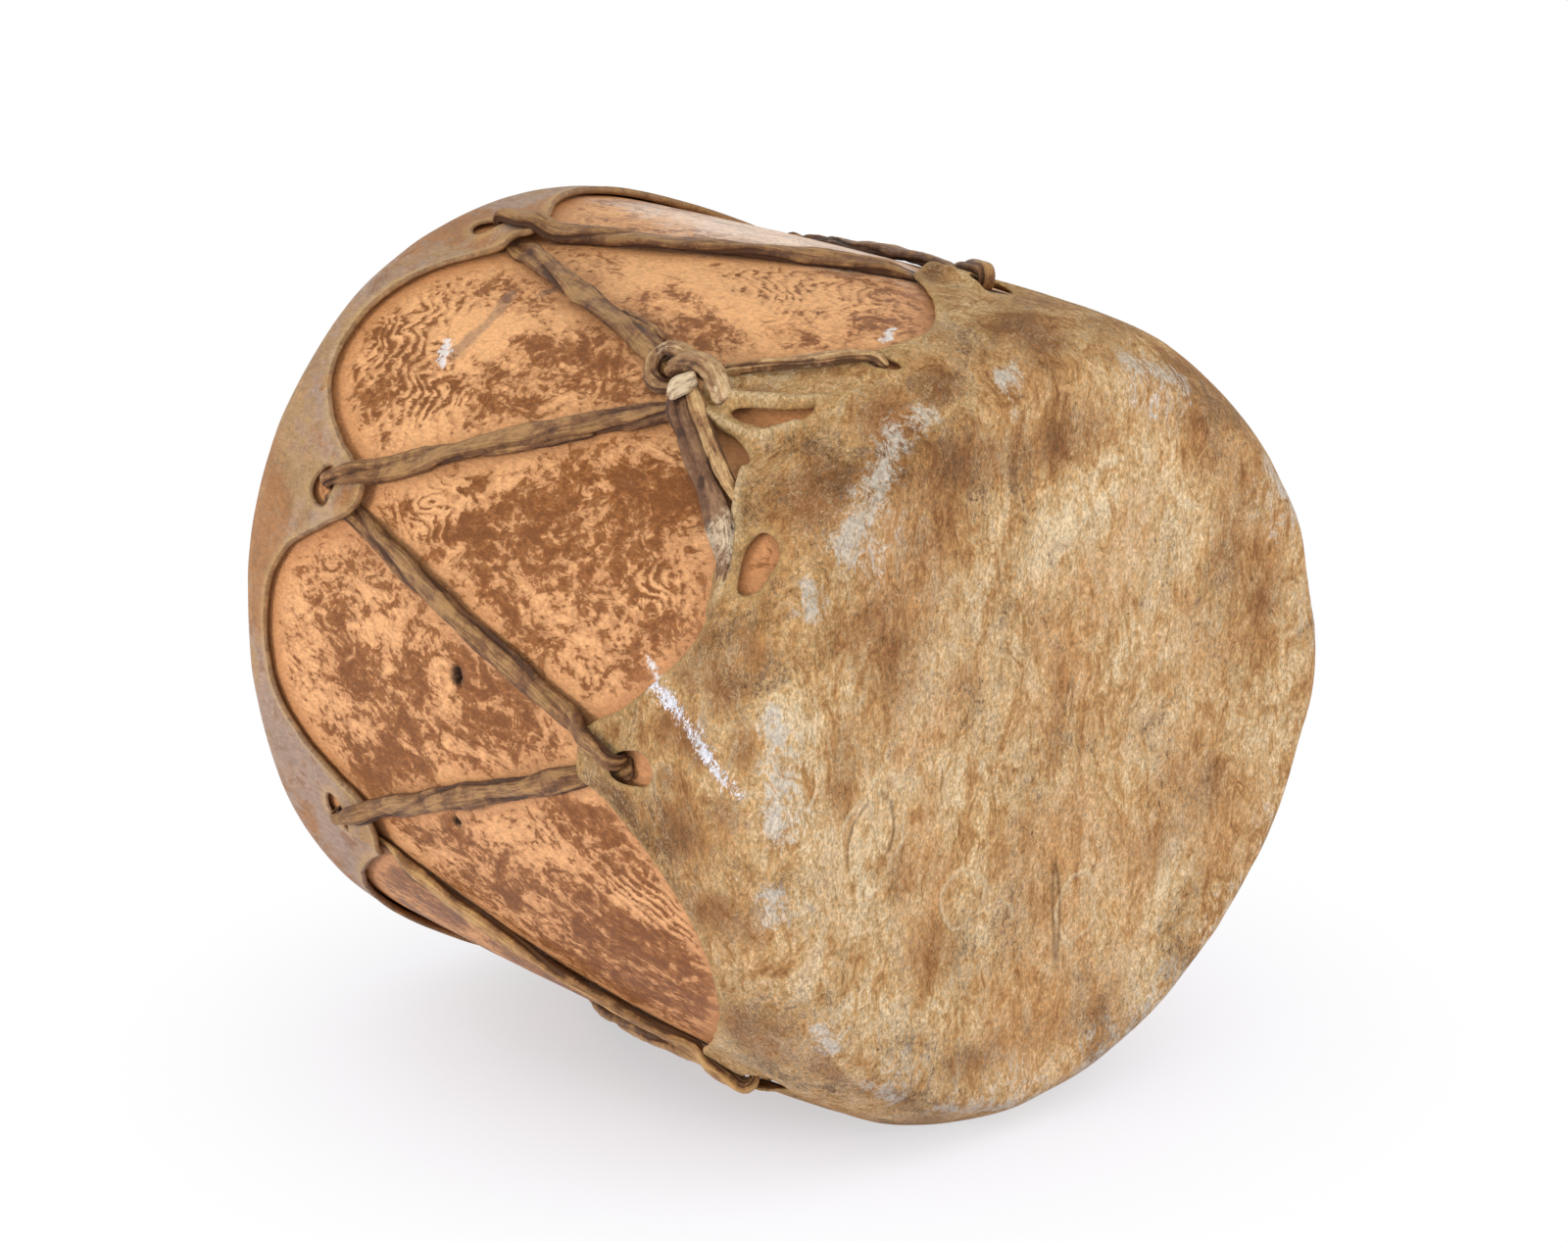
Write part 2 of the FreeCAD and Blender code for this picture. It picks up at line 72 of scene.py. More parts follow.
def makeCamera():
    data = bpy.data.cameras.new("camera")
    data.lens = view["lens"]
    data.sensor_fit = "HORIZONTAL"
    data.sensor_width = view["sensor"]
    camera = bpy.data.objects.new("camera", data)
    bpy.context.scene.collection.objects.link(camera)
    axes = Matrix((view["right"], view["up"], [-part for part in view["forward"]])).transposed()
    camera.matrix_world = (drumTurn @ axes).to_4x4()
    camera.location = toFrame(np.array(view["place"]))
    bpy.context.scene.camera = camera


makeCamera()
print("camera placed")


# THE LOG'S SHAPE, as the CAD model has it

log = {
    "half": 139.65, "belly": 142.5, "bore": 115.0,
    "ovalShare": 0.0055, "ovalAngle": 3.0, "lobeShare": 0.0185, "lobeAngle": -34.2,
}
gap = 0.3              # left between a sheet or a thong and what it lies on
hideThickness = 2.2
tuckRoom = 2.2         # room beneath a tab for the end of a thong
edgeRadius = 143.0     # the radius at which angles are unrolled into arcs
edgeReach = 14.0       # distances to an edge are held at this
wholeArc = 2 * math.pi * edgeRadius


def roundShare(angle):
    oval = log["ovalShare"] * np.cos(2 * np.radians(angle - log["ovalAngle"]))
    return 1 + oval + log["lobeShare"] * np.cos(3 * np.radians(angle - log["lobeAngle"]))


def smooth(value):
    held = np.clip(value, 0, 1)
    return held * held * (3 - 2 * held)


def smoothBetween(value, low, high):
    return smooth((value - low) / (high - low))


def toArc(angle):
    return np.radians(angle) * edgeRadius


def toAngle(arc):
    return np.degrees(arc / edgeRadius)


def arcApart(first, second):   # between two angles, the shorter way round
    return toArc((first - second + 180) % 360 - 180)


def heldArc(angle):   # unrolled once, from half a turn above the top to half a turn below
    return toArc((angle + 180) % 360) - wholeArc / 2


class End:
    def __init__(self, sign, taper, shoulder, crest, skirtDepth):
        self.sign = sign
        self.side = log["belly"] - taper
        self.shoulder = shoulder
        self.crest = crest
        self.bend = math.pi / 4 if crest < shoulder else math.pi / 2
        self.slide = (shoulder - crest) * math.sin(self.bend)
        self.shoulderStart = log["half"] - crest - self.slide
        self.valley = log["half"] - skirtDepth
        self.flareStart = min(self.valley, self.shoulderStart)

    def profile(self, sideStart, sideStep, bendStep, faceSteps):
        # rows of distance, radius and the outward normal, from the side over to the face's middle
        rows = []
        for distance in np.arange(sideStart, self.shoulderStart, sideStep):
            rows.append((distance, self.woodRadius(distance), 0, 1))
        low = self.side - self.shoulder
        for turn in np.linspace(0, self.bend, max(3, round(self.shoulder * self.bend / bendStep))):
            rows.append((self.shoulderStart + self.shoulder * math.sin(turn),
                         low + self.shoulder * math.cos(turn),
                         math.sin(turn), math.cos(turn)))
        if self.slide:
            count = max(4, round(self.crest * (math.pi / 2 - self.bend) / bendStep) + 2)
            for turn in np.linspace(self.bend, math.pi / 2, count)[1:]:
                rows.append((self.shoulderStart + self.slide + self.crest * math.sin(turn),
                             low + self.slide + self.crest * math.cos(turn), math.sin(turn), math.cos(turn)))
        rim = rows[-1][1]
        for share in np.linspace(1, 0, faceSteps + 1)[1:-1]:
            rows.append((log["half"], rim * share**1.15, 1, 0))
        return np.array(rows, float)

    def woodRadius(self, distance):
        side = log["belly"] - (log["belly"] - self.side) * (distance / self.shoulderStart)**2
        beyond = np.clip(distance - self.shoulderStart, 0, self.shoulder * math.sin(self.bend))
        bent = self.side - self.shoulder + np.sqrt(self.shoulder**2 - beyond**2)
        return np.where(distance > self.shoulderStart, bent, side)


playedEnd = End(1, 3.7, 43.2, 9.5, 29.0)
farEnd = End(-1, 1.9, 17.5, 17.5, 22.5)


def around(along, radius, angle):   # drum coordinates of a point on a ring
    turn = np.radians(angle)
    wide = radius * roundShare(angle)
    return np.stack([along, wide * np.sin(turn), wide * np.cos(turn)], axis=-1)


def surfacePoint(along, angle, height):
    radius = np.where(along > 0, playedEnd.woodRadius(np.abs(along)), farEnd.woodRadius(np.abs(along)))
    return around(along, radius + height, angle)


# Smooth seeded noise for shapes
noiseSide = 32
noiseTable = np.random.default_rng(11).random((noiseSide, noiseSide, noiseSide))


def softNoise(points, size, shift=0.0):
    spot = points / size + shift
    base = np.floor(spot).astype(int)
    part = smooth(spot - base)
    total = 0
    for corner in itertools.product((0, 1), repeat=3):
        cell = (base + corner) % noiseSide
        weight = np.prod(np.where(corner, part, 1 - part), axis=-1)
        total = total + weight * noiseTable[cell[..., 0], cell[..., 1], cell[..., 2]]
    return 2 * total - 1


# MESHES

def makePiece(name, points, polygons, replaced, attributes):
    mesh = bpy.data.meshes.new(name)
    placed = toFrame(points)
    placed[:, 2] = np.maximum(placed[:, 2], 0)   # pressed flat where it rests on the floor
    mesh.from_pydata(placed.tolist(), [], polygons)
    mesh.validate()
    shell = bmesh.new()   # turn every face outwards
    shell.from_mesh(mesh)
    bmesh.ops.recalc_face_normals(shell, faces=shell.faces)
    shell.to_mesh(mesh)
    shell.free()
    for label, values in attributes.items():
        values = np.asarray(values, np.float32)
        mesh.attributes.new(label, "FLOAT", "POINT").data.foreach_set("value", values)
    mesh.shade_smooth()
    piece = bpy.data.objects.new(name, mesh)
    bpy.context.scene.collection.objects.link(piece)
    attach(piece, "root")
    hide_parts(*replaced)


def gridFaces(rows, columns, keep=None, flip=False):   # quads of a grid that closes round its columns
    row, column = np.meshgrid(np.arange(rows - 1), np.arange(columns), indexing="ij")
    after = (column + 1) % columns
    quads = np.stack([row * columns + column, (row + 1) * columns + column,
                      (row + 1) * columns + after, row * columns + after], axis=-1)
    quads = quads[keep] if keep is not None else quads.reshape(-1, 4)
    return quads[:, ::-1] if flip else quads


def ringAngles(rows, columns):
    return np.broadcast_to(-360 * np.arange(columns) / columns, (rows, columns)).copy()


# THE TABS: angle, reach as a share of half the log, half angles of the tip, powers of the
# curves into the bays on the lower and upper side, and whether a thong runs through it

Tab = namedtuple("Tab", "angle reach tip powers threaded", defaults=[True])
playedTabs = [
    Tab(8.0, 0.445, (5.6, 5.0), (1.65, 2.2)),
    Tab(-34.6, 0.44, (3.0, 3.2), (2.9, 2.1), False),
    Tab(-86.6, 0.45, (3.4, 3.0), (2.2, 1.9)),
    Tab(-142.0, 0.51, (3.6, 3.6), (2.0, 1.8)),
    Tab(-198.0, 0.47, (3.2, 3.2), (2.2, 2.2)),
    Tab(-248.0, 0.48, (3.2, 3.2), (2.2, 2.2)),
    Tab(-298.0, 0.45, (3.2, 3.2), (2.2, 2.2)),
]
farTabs = [
    Tab(-18.0, 0.575, (3.0, 3.0), (2.3, 2.3)),
    Tab(-64.6, 0.49, (2.2, 2.4), (3.3, 2.7)),
    Tab(-114.6, 0.48, (4.0, 4.0), (2.2, 2.6)),
    Tab(-172.0, 0.50, (3.2, 3.2), (2.4, 2.2)),
    Tab(-223.0, 0.48, (3.2, 3.2), (2.4, 2.4)),
    Tab(-271.0, 0.50, (3.2, 3.2), (2.4, 2.4)),
    Tab(-323.0, 0.54, (3.2, 3.2), (2.4, 2.4)),
]
tabHole = {"setback": 23.5, "along": 8.3, "around": 6.9, "thongShort": 7.4}


def holeDistance(tab):
    return tab.reach * log["half"] + tabHole["setback"]


# The torn edge of the knotted tab and the openings round it, as distance and angle
tornEdge = [
    (-33.2, 63.5), (-35.6, 61.8), (-37.8, 64.5), (-39.4, 70.0), (-40.4, 77.0), (-40.5, 85.0), (-41.2, 90.5),
    (-42.5, 96.0), (-43.4, 98.6), (-44.5, 97.0), (-45.9, 96.2), (-47.6, 100.0), (-49.8, 102.5),
    (-52.4, 102.0),
    (-54.6, 102.6), (-57.4, 105.0), (-60.4, 107.3), (-63.2, 107.0),
]
strandSlit = [(106.7, -22.0), (111.0, -21.3), (116.5, -21.2), (118.4, -22.2), (113.0, -23.9), (107.5, -23.4)]
strandOval = [
    (119.2, -51.0), (122.8, -51.8), (124.4, -53.8), (124.5, -55.9), (122.3, -58.9), (117.8, -60.2),
    (115.5, -59.6), (113.9, -57.0), (112.2, -54.4), (113.6, -52.2), (116.2, -51.0),
]
tabWindow = [
    (77.6, -37.9), (80.3, -36.9), (85.8, -36.1), (97.4, -35.0), (104.8, -33.2), (106.6, -32.4),
    (107.2, -34.4), (105.4, -36.8), (98.5, -38.3), (89.4, -38.9), (82.0, -38.7),
]


def skirtEdge(end, tabs, torn):   # the cut edge right round the skirt, as rows of angle and distance
    edge = []
    for number, upper in enumerate(tabs):
        lower = tabs[(number + 1) % len(tabs)]
        wrap = -360 if number == len(tabs) - 1 else 0
        high = upper.angle - upper.tip[0]
        low = lower.angle + wrap + lower.tip[1]
        middle = (high + low) / 2
        for share in np.linspace(0, 1, 25):
            portion = abs(2 * share - 1)
            tab, power = (upper, upper.powers[0]) if share < 0.5 else (lower, lower.powers[1])
            distance = end.valley - (end.valley - tab.reach * log["half"]) * portion**power
            angle = high + (low - high) * share
            radius = (end.woodRadius(distance) + hideThickness) * roundShare(angle)
            sideways = math.sin(math.radians(angle - middle)) * (end.side + hideThickness) / radius
            angle = middle + math.degrees(math.asin(sideways))
            edge.append((angle, distance))
    if torn:
        high, low = torn[0][0], torn[-1][0]
        edge = [spot for spot in edge if spot[0] > high + 0.8 or spot[0] < low - 0.8] + torn
    return cutCorners(sorted(edge, reverse=True), (-360, 0))


def catmull(points, perSpan):   # a smooth line through given points
    points = np.array(points, float)
    padded = np.concatenate([2 * points[:1] - points[1:2], points, 2 * points[-1:] - points[-2:-1]])
    line = []
    for number in range(len(points) - 1):
        before, one, two, after = padded[number:number + 4]
        for part in np.arange(perSpan) / perSpan:
            line.append(0.5 * (2 * one + (two - before) * part
                               + (2 * before - 5 * one + 4 * two - after) * part**2
                               + (3 * one - before - 3 * two + after) * part**3))
    line.append(points[-1])
    return np.array(line)


def nearestEdge(points, line):   # how far each point is from a line of joined points
    best = np.full(len(points), edgeReach**2)
    order = np.argsort(points[:, 1])
    arcs = points[order, 1]
    for start, finish in zip(line[:-1], line[1:]):
        low = np.searchsorted(arcs, min(start[1], finish[1]) - edgeReach)
        high = np.searchsorted(arcs, max(start[1], finish[1]) + edgeReach)
        near = order[low:high]
        if not len(near):
            continue
        reach = abs(finish[0] - start[0]) / 2 + edgeReach
        near = near[np.abs(points[near, 0] - (start[0] + finish[0]) / 2) < reach]
        run = finish - start
        part = np.clip(((points[near] - start) @ run) / max(run @ run, 1e-9), 0, 1)
        away = points[near] - start - part[:, None] * run
        best[near] = np.minimum(best[near], (away * away).sum(1))
    return np.sqrt(best)


def insideOutline(points, line):
    inside = np.zeros(len(points), bool)
    for start, finish in zip(line[:-1], line[1:]):
        crosses = (start[1] > points[:, 1]) != (finish[1] > points[:, 1])
        spot = start[0] + (points[:, 1] - start[1]) / (finish[1] - start[1] + 1e-12) * (finish[0] - start[0])
        inside ^= crosses & (points[:, 0] < spot)
    return inside


def cutCorners(line, closing=(0, 0)):   # of a closed line, twice; closing is added where it closes
    line = np.array(line, float)
    for _ in range(2):
        after = np.roll(line, -1, axis=0)
        after[-1] += closing
        line = np.stack([0.75 * line + 0.25 * after, 0.25 * line + 0.75 * after], axis=1).reshape(-1, 2)
    return line


head = {
    "columns": 760, "sideStep": 1.1, "bendStep": 1.6, "faceSteps": 46,
    "wobble": 0.6, "edgeRound": 0.5, "rimBulge": 0.8,
    "lumps": 0.7, "shoulderLumps": 1.15, "faceLumps": 0.7, "edgeCurl": 0.5,
    "bead": 0.5, "beadWidth": 1.8, "roll": 2.9, "rollWidth": 2.2, "holeThinning": 1.1,
    "slopeStep": 0.05, "evened": 3.2, "rimLevels": (0.27, 0.5, 0.73), "thinnest": 1.3, "underside": 0.12,
}
lifting = {   # how far the hide is lifted off the wood, and how fast that fades
    "rest": 0.25, "curlFade": 2.5, "curlBeyond": 6, "towardsTip": 17.0, "beside": 10.0,
    "overThong": 1.7, "thongReach": 4.6,
}

# Where the torn hide is rolled up beside the knot, as rows of distance and angle
rolledHide = [
    [(59.0, -35.0), (66.0, -35.6), (76.0, -35.9), (88.0, -34.9), (99.0, -33.6), (107.0, -31.9)],
    [(64.0, -38.4), (71.0, -39.3), (78.0, -39.6), (86.0, -39.9), (97.0, -39.6), (106.0, -36.6)],
    [(99.5, -44.8), (104.0, -49.4), (109.5, -52.8), (110.4, -56.5), (111.4, -61.5)],
]


def unroll(path):   # rows of distance and angle to distance and arc
    path = np.array(path, float)
    return np.stack([path[:, 0], toArc(path[:, 1])], axis=1)


def unrolledLine(path):
    return catmull(unroll(path), 6)


class Head:
    def __init__(self, end, tabs, torn, openings):
        self.end = end
        self.tabs = tabs
        self.edge = skirtEdge(end, tabs, torn)
        line = unroll(self.edge[:, ::-1])
        self.edgeLine = np.concatenate([line + (0, wholeArc * turn) for turn in (1, 0, -1)])
        self.rolls = [unrolledLine(path) for path in (rolledHide if torn else [])]
        self.tucks = []
        self.outlines = []
        for opening in openings:
            line = cutCorners(unroll(opening))
            self.outlines.append(np.concatenate([line, line[:1]]))
        turns = np.linspace(0, 2 * math.pi, 49)
        for tab in tabs:
            if tab.threaded:
                uneven = 1 + 0.07 * np.sin(2 * turns + tab.angle) + 0.05 * np.sin(3 * turns + 2 * tab.angle)
                hole = np.stack([np.cos(turns) * tabHole["along"], np.sin(turns) * tabHole["around"]],
                                axis=1)
                self.outlines.append((holeDistance(tab), toArc(tab.angle)) + hole * uneven[:, None])

    def wobbled(self, points):
        wave = softNoise(np.stack([points[:, 0], points[:, 1], points[:, 0] * 0 + 5], axis=1), 7.0)
        return head["wobble"] * wave

    # Distance into the hide from its nearest cut edge, negative where the hide is cut away.
    # Points are rows of distance along the log and arc.
    def hideDistance(self, points):
        points = np.stack([points[:, 0], (points[:, 1] + wholeArc / 2) % wholeArc - wholeArc / 2], axis=1)
        order = np.argsort(self.edgeLine[:, 1])
        edgeThere = np.interp(points[:, 1], self.edgeLine[order, 1], self.edgeLine[order, 0])
        sign = np.where(points[:, 0] > edgeThere, 1, -1)
        result = sign * nearestEdge(points, self.edgeLine)
        for line in self.outlines:
            shift = np.round((points[:, 1] - line[:, 1].mean()) / wholeArc) * wholeArc
            shifted = points - np.stack([shift * 0, shift], axis=1)
            away = nearestEdge(shifted, line)
            result = np.minimum(result, np.where(insideOutline(shifted, line), -away, away))
        return result + self.wobbled(points)

    def wayIn(self, points):   # the same distance, and the direction in which it grows
        here = self.hideDistance(points)
        step = head["slopeStep"]
        slopes = [self.hideDistance(points + shift) - here for shift in ((step, 0), (0, step))]
        slopes = np.stack(slopes, axis=1) / step
        return here, slopes / (np.linalg.norm(slopes, axis=1, keepdims=True) + 1e-6)


# How far the hide is lifted: over the tucked thongs, a little along the free edges
def hideLift(headShape, distance, angle, inset):
    end = headShape.end
    onSkirt = distance < end.valley + lifting["curlBeyond"]
    curl = np.exp(-np.clip(inset, 0, None) / lifting["curlFade"]) * onSkirt
    lift = lifting["rest"] + head["edgeCurl"] * curl
    run = smooth((end.flareStart - distance) / lifting["towardsTip"])
    for tab in headShape.tabs:
        fade = np.exp(-(np.abs(arcApart(angle, tab.angle)) / lifting["beside"])**4)
        beyond = smooth((distance - holeDistance(tab) + 3) / 9) if tab.threaded else 0
        lift = lift + (tuckRoom - lifting["rest"]) * run * (1 - 0.9 * beyond) * fade
    spots = np.stack([np.broadcast_to(distance, angle.shape), heldArc(angle)], axis=-1).reshape(-1, 2)
    for path in headShape.tucks:
        near = np.exp(-(nearestEdge(spots, path) / lifting["thongReach"])**2)
        lift = lift + lifting["overThong"] * near.reshape(angle.shape)
    return lift


def makeHead(name, headShape, replaced, marks=None):
    end = headShape.end
    start = min(spot[1] for spot in headShape.edge) - 4
    profile = end.profile(start, head["sideStep"], head["bendStep"], head["faceSteps"])
    rows, columns = len(profile), head["columns"]
    angle = ringAngles(rows, columns)
    skirtRows = int((profile[:, 2] < 0.55).sum())
    distance = np.broadcast_to(profile[:, 0:1], (rows, columns)).copy()
    spots = np.stack([distance, toArc(angle)], axis=-1)[:skirtRows]
    inset = np.full((rows, columns), edgeReach)
    inset[:skirtRows] = headShape.hideDistance(spots.reshape(-1, 2)).reshape(skirtRows, columns)

    # keep the quads whose middle is in the hide, without loose ones
    middle = (inset[:-1] + inset[1:] + np.roll(inset[:-1], -1, 1) + np.roll(inset[1:], -1, 1)) / 4
    keep = middle > 0
    for _ in range(3):
        beside = np.roll(keep, 1, 1).astype(int) + np.roll(keep, -1, 1)
        beside[1:] += keep[:-1]
        beside[:-1] += keep[1:]
        beside[-1] += 1
        keep &= beside > 1
    used = np.zeros((rows, columns), int)
    for down, right in itertools.product((0, 1), repeat=2):
        used[down:rows - 1 + down] += np.roll(keep, right, 1)
    onEdge = (used > 0) & (used < 4)
    onEdge[-1] = False

    # move the edge's points onto the cut line, then even out the rows beside it
    flat = spots.reshape(-1, 2).copy()
    edgeMask = onEdge[:skirtRows].reshape(-1)
    for _ in range(3):
        here, slopes = headShape.wayIn(flat[edgeMask])
        flat[edgeMask] -= np.clip(here, -1, 1)[:, None] * slopes
    spots = flat.reshape(skirtRows, columns, 2)
    near = (np.abs(inset[:skirtRows]) < head["evened"]) & ~onEdge[:skirtRows]
    near[0] = near[-1] = False
    for _ in range(4):
        left, right = np.roll(spots, 1, 1), np.roll(spots, -1, 1)
        left[:, 0, 1] += wholeArc
        right[:, -1, 1] -= wholeArc
        mean = (left + right + np.roll(spots, 1, 0) + np.roll(spots, -1, 0)) / 4
        spots = np.where(near[..., None], 0.5 * spots + 0.5 * mean, spots)
    distance[:skirtRows] = spots[..., 0]
    angle[:skirtRows] = toAngle(spots[..., 1])
    inset[:skirtRows] = headShape.hideDistance(spots.reshape(-1, 2)).reshape(skirtRows, columns)
    flatEdge = np.zeros((rows, columns, 2))
    flatEdge[:skirtRows].reshape(-1, 2)[edgeMask] = headShape.wayIn(spots.reshape(-1, 2)[edgeMask])[1]

    order = profile[:skirtRows + 4]
    radius = np.broadcast_to(profile[:, 1:2], (rows, columns)).copy()
    normalAlong = np.broadcast_to(profile[:, 2:3], (rows, columns)).copy()
    normalOut = np.broadcast_to(profile[:, 3:4], (rows, columns)).copy()
    for target, source in ((radius, 1), (normalAlong, 2), (normalOut, 3)):
        target[:skirtRows] = np.interp(distance[:skirtRows], order[:, 0], order[:, source])

    def placed(height, shift=0):
        along = end.sign * (distance + normalAlong * height - shift * flatEdge[..., 0])
        turned = angle - shift * toAngle(flatEdge[..., 1])
        return around(along, radius + normalOut * height, turned)

    base = placed(0)
    onFace = smoothBetween(normalAlong, 0.8, 0.99)
    shoulderness = np.exp(-((normalAlong - 0.75) / 0.22)**2)
    lift = hideLift(headShape, distance, angle, inset)
    wave = softNoise(base, 34.0, 3.1) * head["lumps"] + softNoise(base, 13.0, 9.2) * 0.25 * head["lumps"]
    wave = wave + head["shoulderLumps"] * shoulderness * softNoise(base, 21.0, 5.7)
    wave = wave + head["faceLumps"] * onFace * softNoise(base, 48.0, 1.3)
    lower = gap + lift + head["underside"] * np.abs(softNoise(base, 15.0, 4.4)) * (1 - onFace)
    bead = head["bead"] * np.exp(-((inset - 1.6) / head["beadWidth"])**2)
    bead = bead * (0.75 + 0.5 * softNoise(base, 9.0, 7.7))
    flatSpots = np.stack([distance, toArc(angle)], axis=-1).reshape(-1, 2)
    rolled = np.zeros((rows, columns))
    for path in headShape.rolls:
        away = nearestEdge(flatSpots, path).reshape(rows, columns)
        rolled = np.maximum(rolled, np.exp(-(away / head["rollWidth"])**2))
    upper = lower + hideThickness + (wave - head["lumps"] * 0.2) * (0.55 + 0.45 * smooth(inset / 6))
    upper = upper + bead + head["roll"] * rolled
    for tab in headShape.tabs:   # thinner round a thong's hole
        if tab.threaded:
            reach = np.hypot((distance - holeDistance(tab)) / tabHole["along"],
                             arcApart(angle, tab.angle) / tabHole["around"])
            upper = upper - head["holeThinning"] * np.exp(-((reach - 1) / 0.45)**2)
    upper = np.maximum(upper, lower + head["thinnest"])

    top = placed(upper, -head["edgeRound"]).reshape(-1, 3)
    bottom = placed(lower, -head["edgeRound"]).reshape(-1, 3)
    count = rows * columns
    topFaces = gridFaces(rows, columns, keep, flip=end.sign < 0)
    bottomFaces = gridFaces(rows, columns, keep, flip=end.sign > 0) + count
    points = [top, bottom]
    insets = [inset.reshape(-1) * (1 - 0.9 * rolled.reshape(-1)), inset.reshape(-1)]
    facesList = topFaces.tolist() + bottomFaces.tolist()

    # close each sheet over the face's middle
    last = np.arange(columns) + (rows - 1) * columns
    centre = np.array([[end.sign * (log["half"] + upper[-1].mean()), 0, 0],
                       [end.sign * (log["half"] + lower[-1].mean()), 0, 0]])
    total = 2 * count
    for sheet in (0, 1):
        points.append(centre[sheet:sheet + 1])
        insets.append(np.array([edgeReach]))
        ring = last + sheet * count
        forward = (end.sign > 0) == (sheet == 0)
        for one, other in zip(ring, np.roll(ring, -1)):
            facesList.append([total, other, one] if forward else [total, one, other])
        total += 1

    # the rounded cut edge between the two sheets
    rimIndex = np.full(count, -1)
    edgeIds = np.nonzero(onEdge.reshape(-1))[0]
    rimIndex[edgeIds] = np.arange(len(edgeIds))
    for level in head["rimLevels"]:
        height = upper + (lower - upper) * level
        bulge = head["rimBulge"] * math.sin(math.pi * level) - head["edgeRound"]
        points.append(placed(height, bulge).reshape(-1, 3)[edgeIds])
        insets.append(np.zeros(len(edgeIds)))
    ids = np.arange(count).reshape(rows, columns)
    nextIds = np.roll(ids, -1, 1)
    openLeft = keep & ~np.roll(keep, 1, 1)
    openRight = keep & ~np.roll(keep, -1, 1)
    openUp = keep.copy()
    openUp[1:] &= ~keep[:-1]
    openDown = keep.copy()
    openDown[:-1] &= ~keep[1:]
    openDown[-1] = False
    sides = [(ids[:-1], ids[1:], openLeft), (nextIds[1:], nextIds[:-1], openRight),
             (nextIds[:-1], ids[:-1], openUp), (ids[1:], nextIds[1:], openDown)]
    for firsts, seconds in [(one[opened], two[opened]) for one, two, opened in sides]:
        for first, second in zip(firsts, seconds):
            one, two = rimIndex[first], rimIndex[second]
            ladder = [(first, second)]
            ladder += [(total + level * len(edgeIds) + one, total + level * len(edgeIds) + two)
                       for level in range(len(head["rimLevels"]))]
            ladder.append((first + count, second + count))
            for (a, b), (c, d) in zip(ladder[:-1], ladder[1:]):
                facesList.append([b, a, c, d] if end.sign > 0 else [a, b, d, c])
    points = np.concatenate(points)
    insets = np.concatenate(insets)
    rolledThere = np.zeros(len(points))
    rolledThere[:count] = rolled.reshape(-1)
    usedIds = np.unique(np.concatenate([np.asarray(polygon) for polygon in facesList]))
    renumber = np.zeros(len(points), int)
    renumber[usedIds] = np.arange(len(usedIds))
    facesList = [renumber[polygon].tolist() for polygon in facesList]
    points, insets = points[usedIds], insets[usedIds]
    attributes = {"inset": insets, "rolled": rolledThere[usedIds]}
    if marks:
        turned = np.degrees(np.arctan2(points[:, 1], points[:, 2]))
        attributes.update(marks(end.sign * points[:, 0], turned, points))
    makePiece(name, points, facesList, [replaced], attributes)


# Marks on the hide: soft spots at a distance and angle, with a reach along and around
def spotField(along, angle, spots):
    field = np.zeros(len(along))
    for distance, turned, reachAlong, reachArc in spots:
        apart = arcApart(angle, turned)
        field = np.maximum(field, np.exp(-((along - distance) / reachAlong)**2 - (apart / reachArc)**2))
    return field


def lineField(along, angle, paths):   # the same along lines of distance, angle and reach
    spots = np.stack([along, toArc(angle - 360 * (angle > 90))], axis=1)
    field = np.zeros(len(along))
    for path, reach in paths:
        field = np.maximum(field, np.exp(-(nearestEdge(spots, unrolledLine(path)) / reach)**2))
    return field


shoulderScuffs = [
    ([(132.5, -30.0), (136.2, -36.0), (138.8, -42.5), (139.3, -49.0)], 4.2),
    ([(136.6, -55.4), (138.2, -58.4)], 3.6),
    ([(135.6, -74.0), (139.0, -80.0), (139.4, -87.0), (139.0, -92.5)], 3.8),
    ([(136.2, -101.0), (138.4, -105.0)], 4.0),
    ([(134.6, -25.0), (135.0, -28.0)], 3.6), ([(137.0, -9.5), (138.4, -12.2)], 3.6),
    ([(137.6, 13.0), (138.8, 19.0), (138.8, 28.0)], 3.8), ([(138.6, 52.0), (138.8, 66.0)], 3.0),
    ([(138.6, 76.0), (138.8, 88.0)], 2.6), ([(138.6, -252.0), (138.8, -238.0)], 2.8),
    ([(138.6, -230.0), (138.8, -219.0)], 3.4),
    ([(138.2, -212.0), (138.6, -200.0), (138.2, -187.0)], 4.6), ([(138.0, -178.0), (137.4, -157.0)], 3.6),
    ([(138.0, -148.0), (138.2, -141.0)], 3.4), ([(137.2, -131.0), (138.0, -126.0)], 3.0),
]
chalkStreak = [
    ([(88.6, -73.3), (94.4, -74.9), (103.5, -76.6), (109.4, -78.2), (115.4, -80.4), (123.3, -83.6),
      (127.4, -84.9)], 3.6),
    ([(125.8, -98.0), (127.6, -98.6)], 1.0),
]


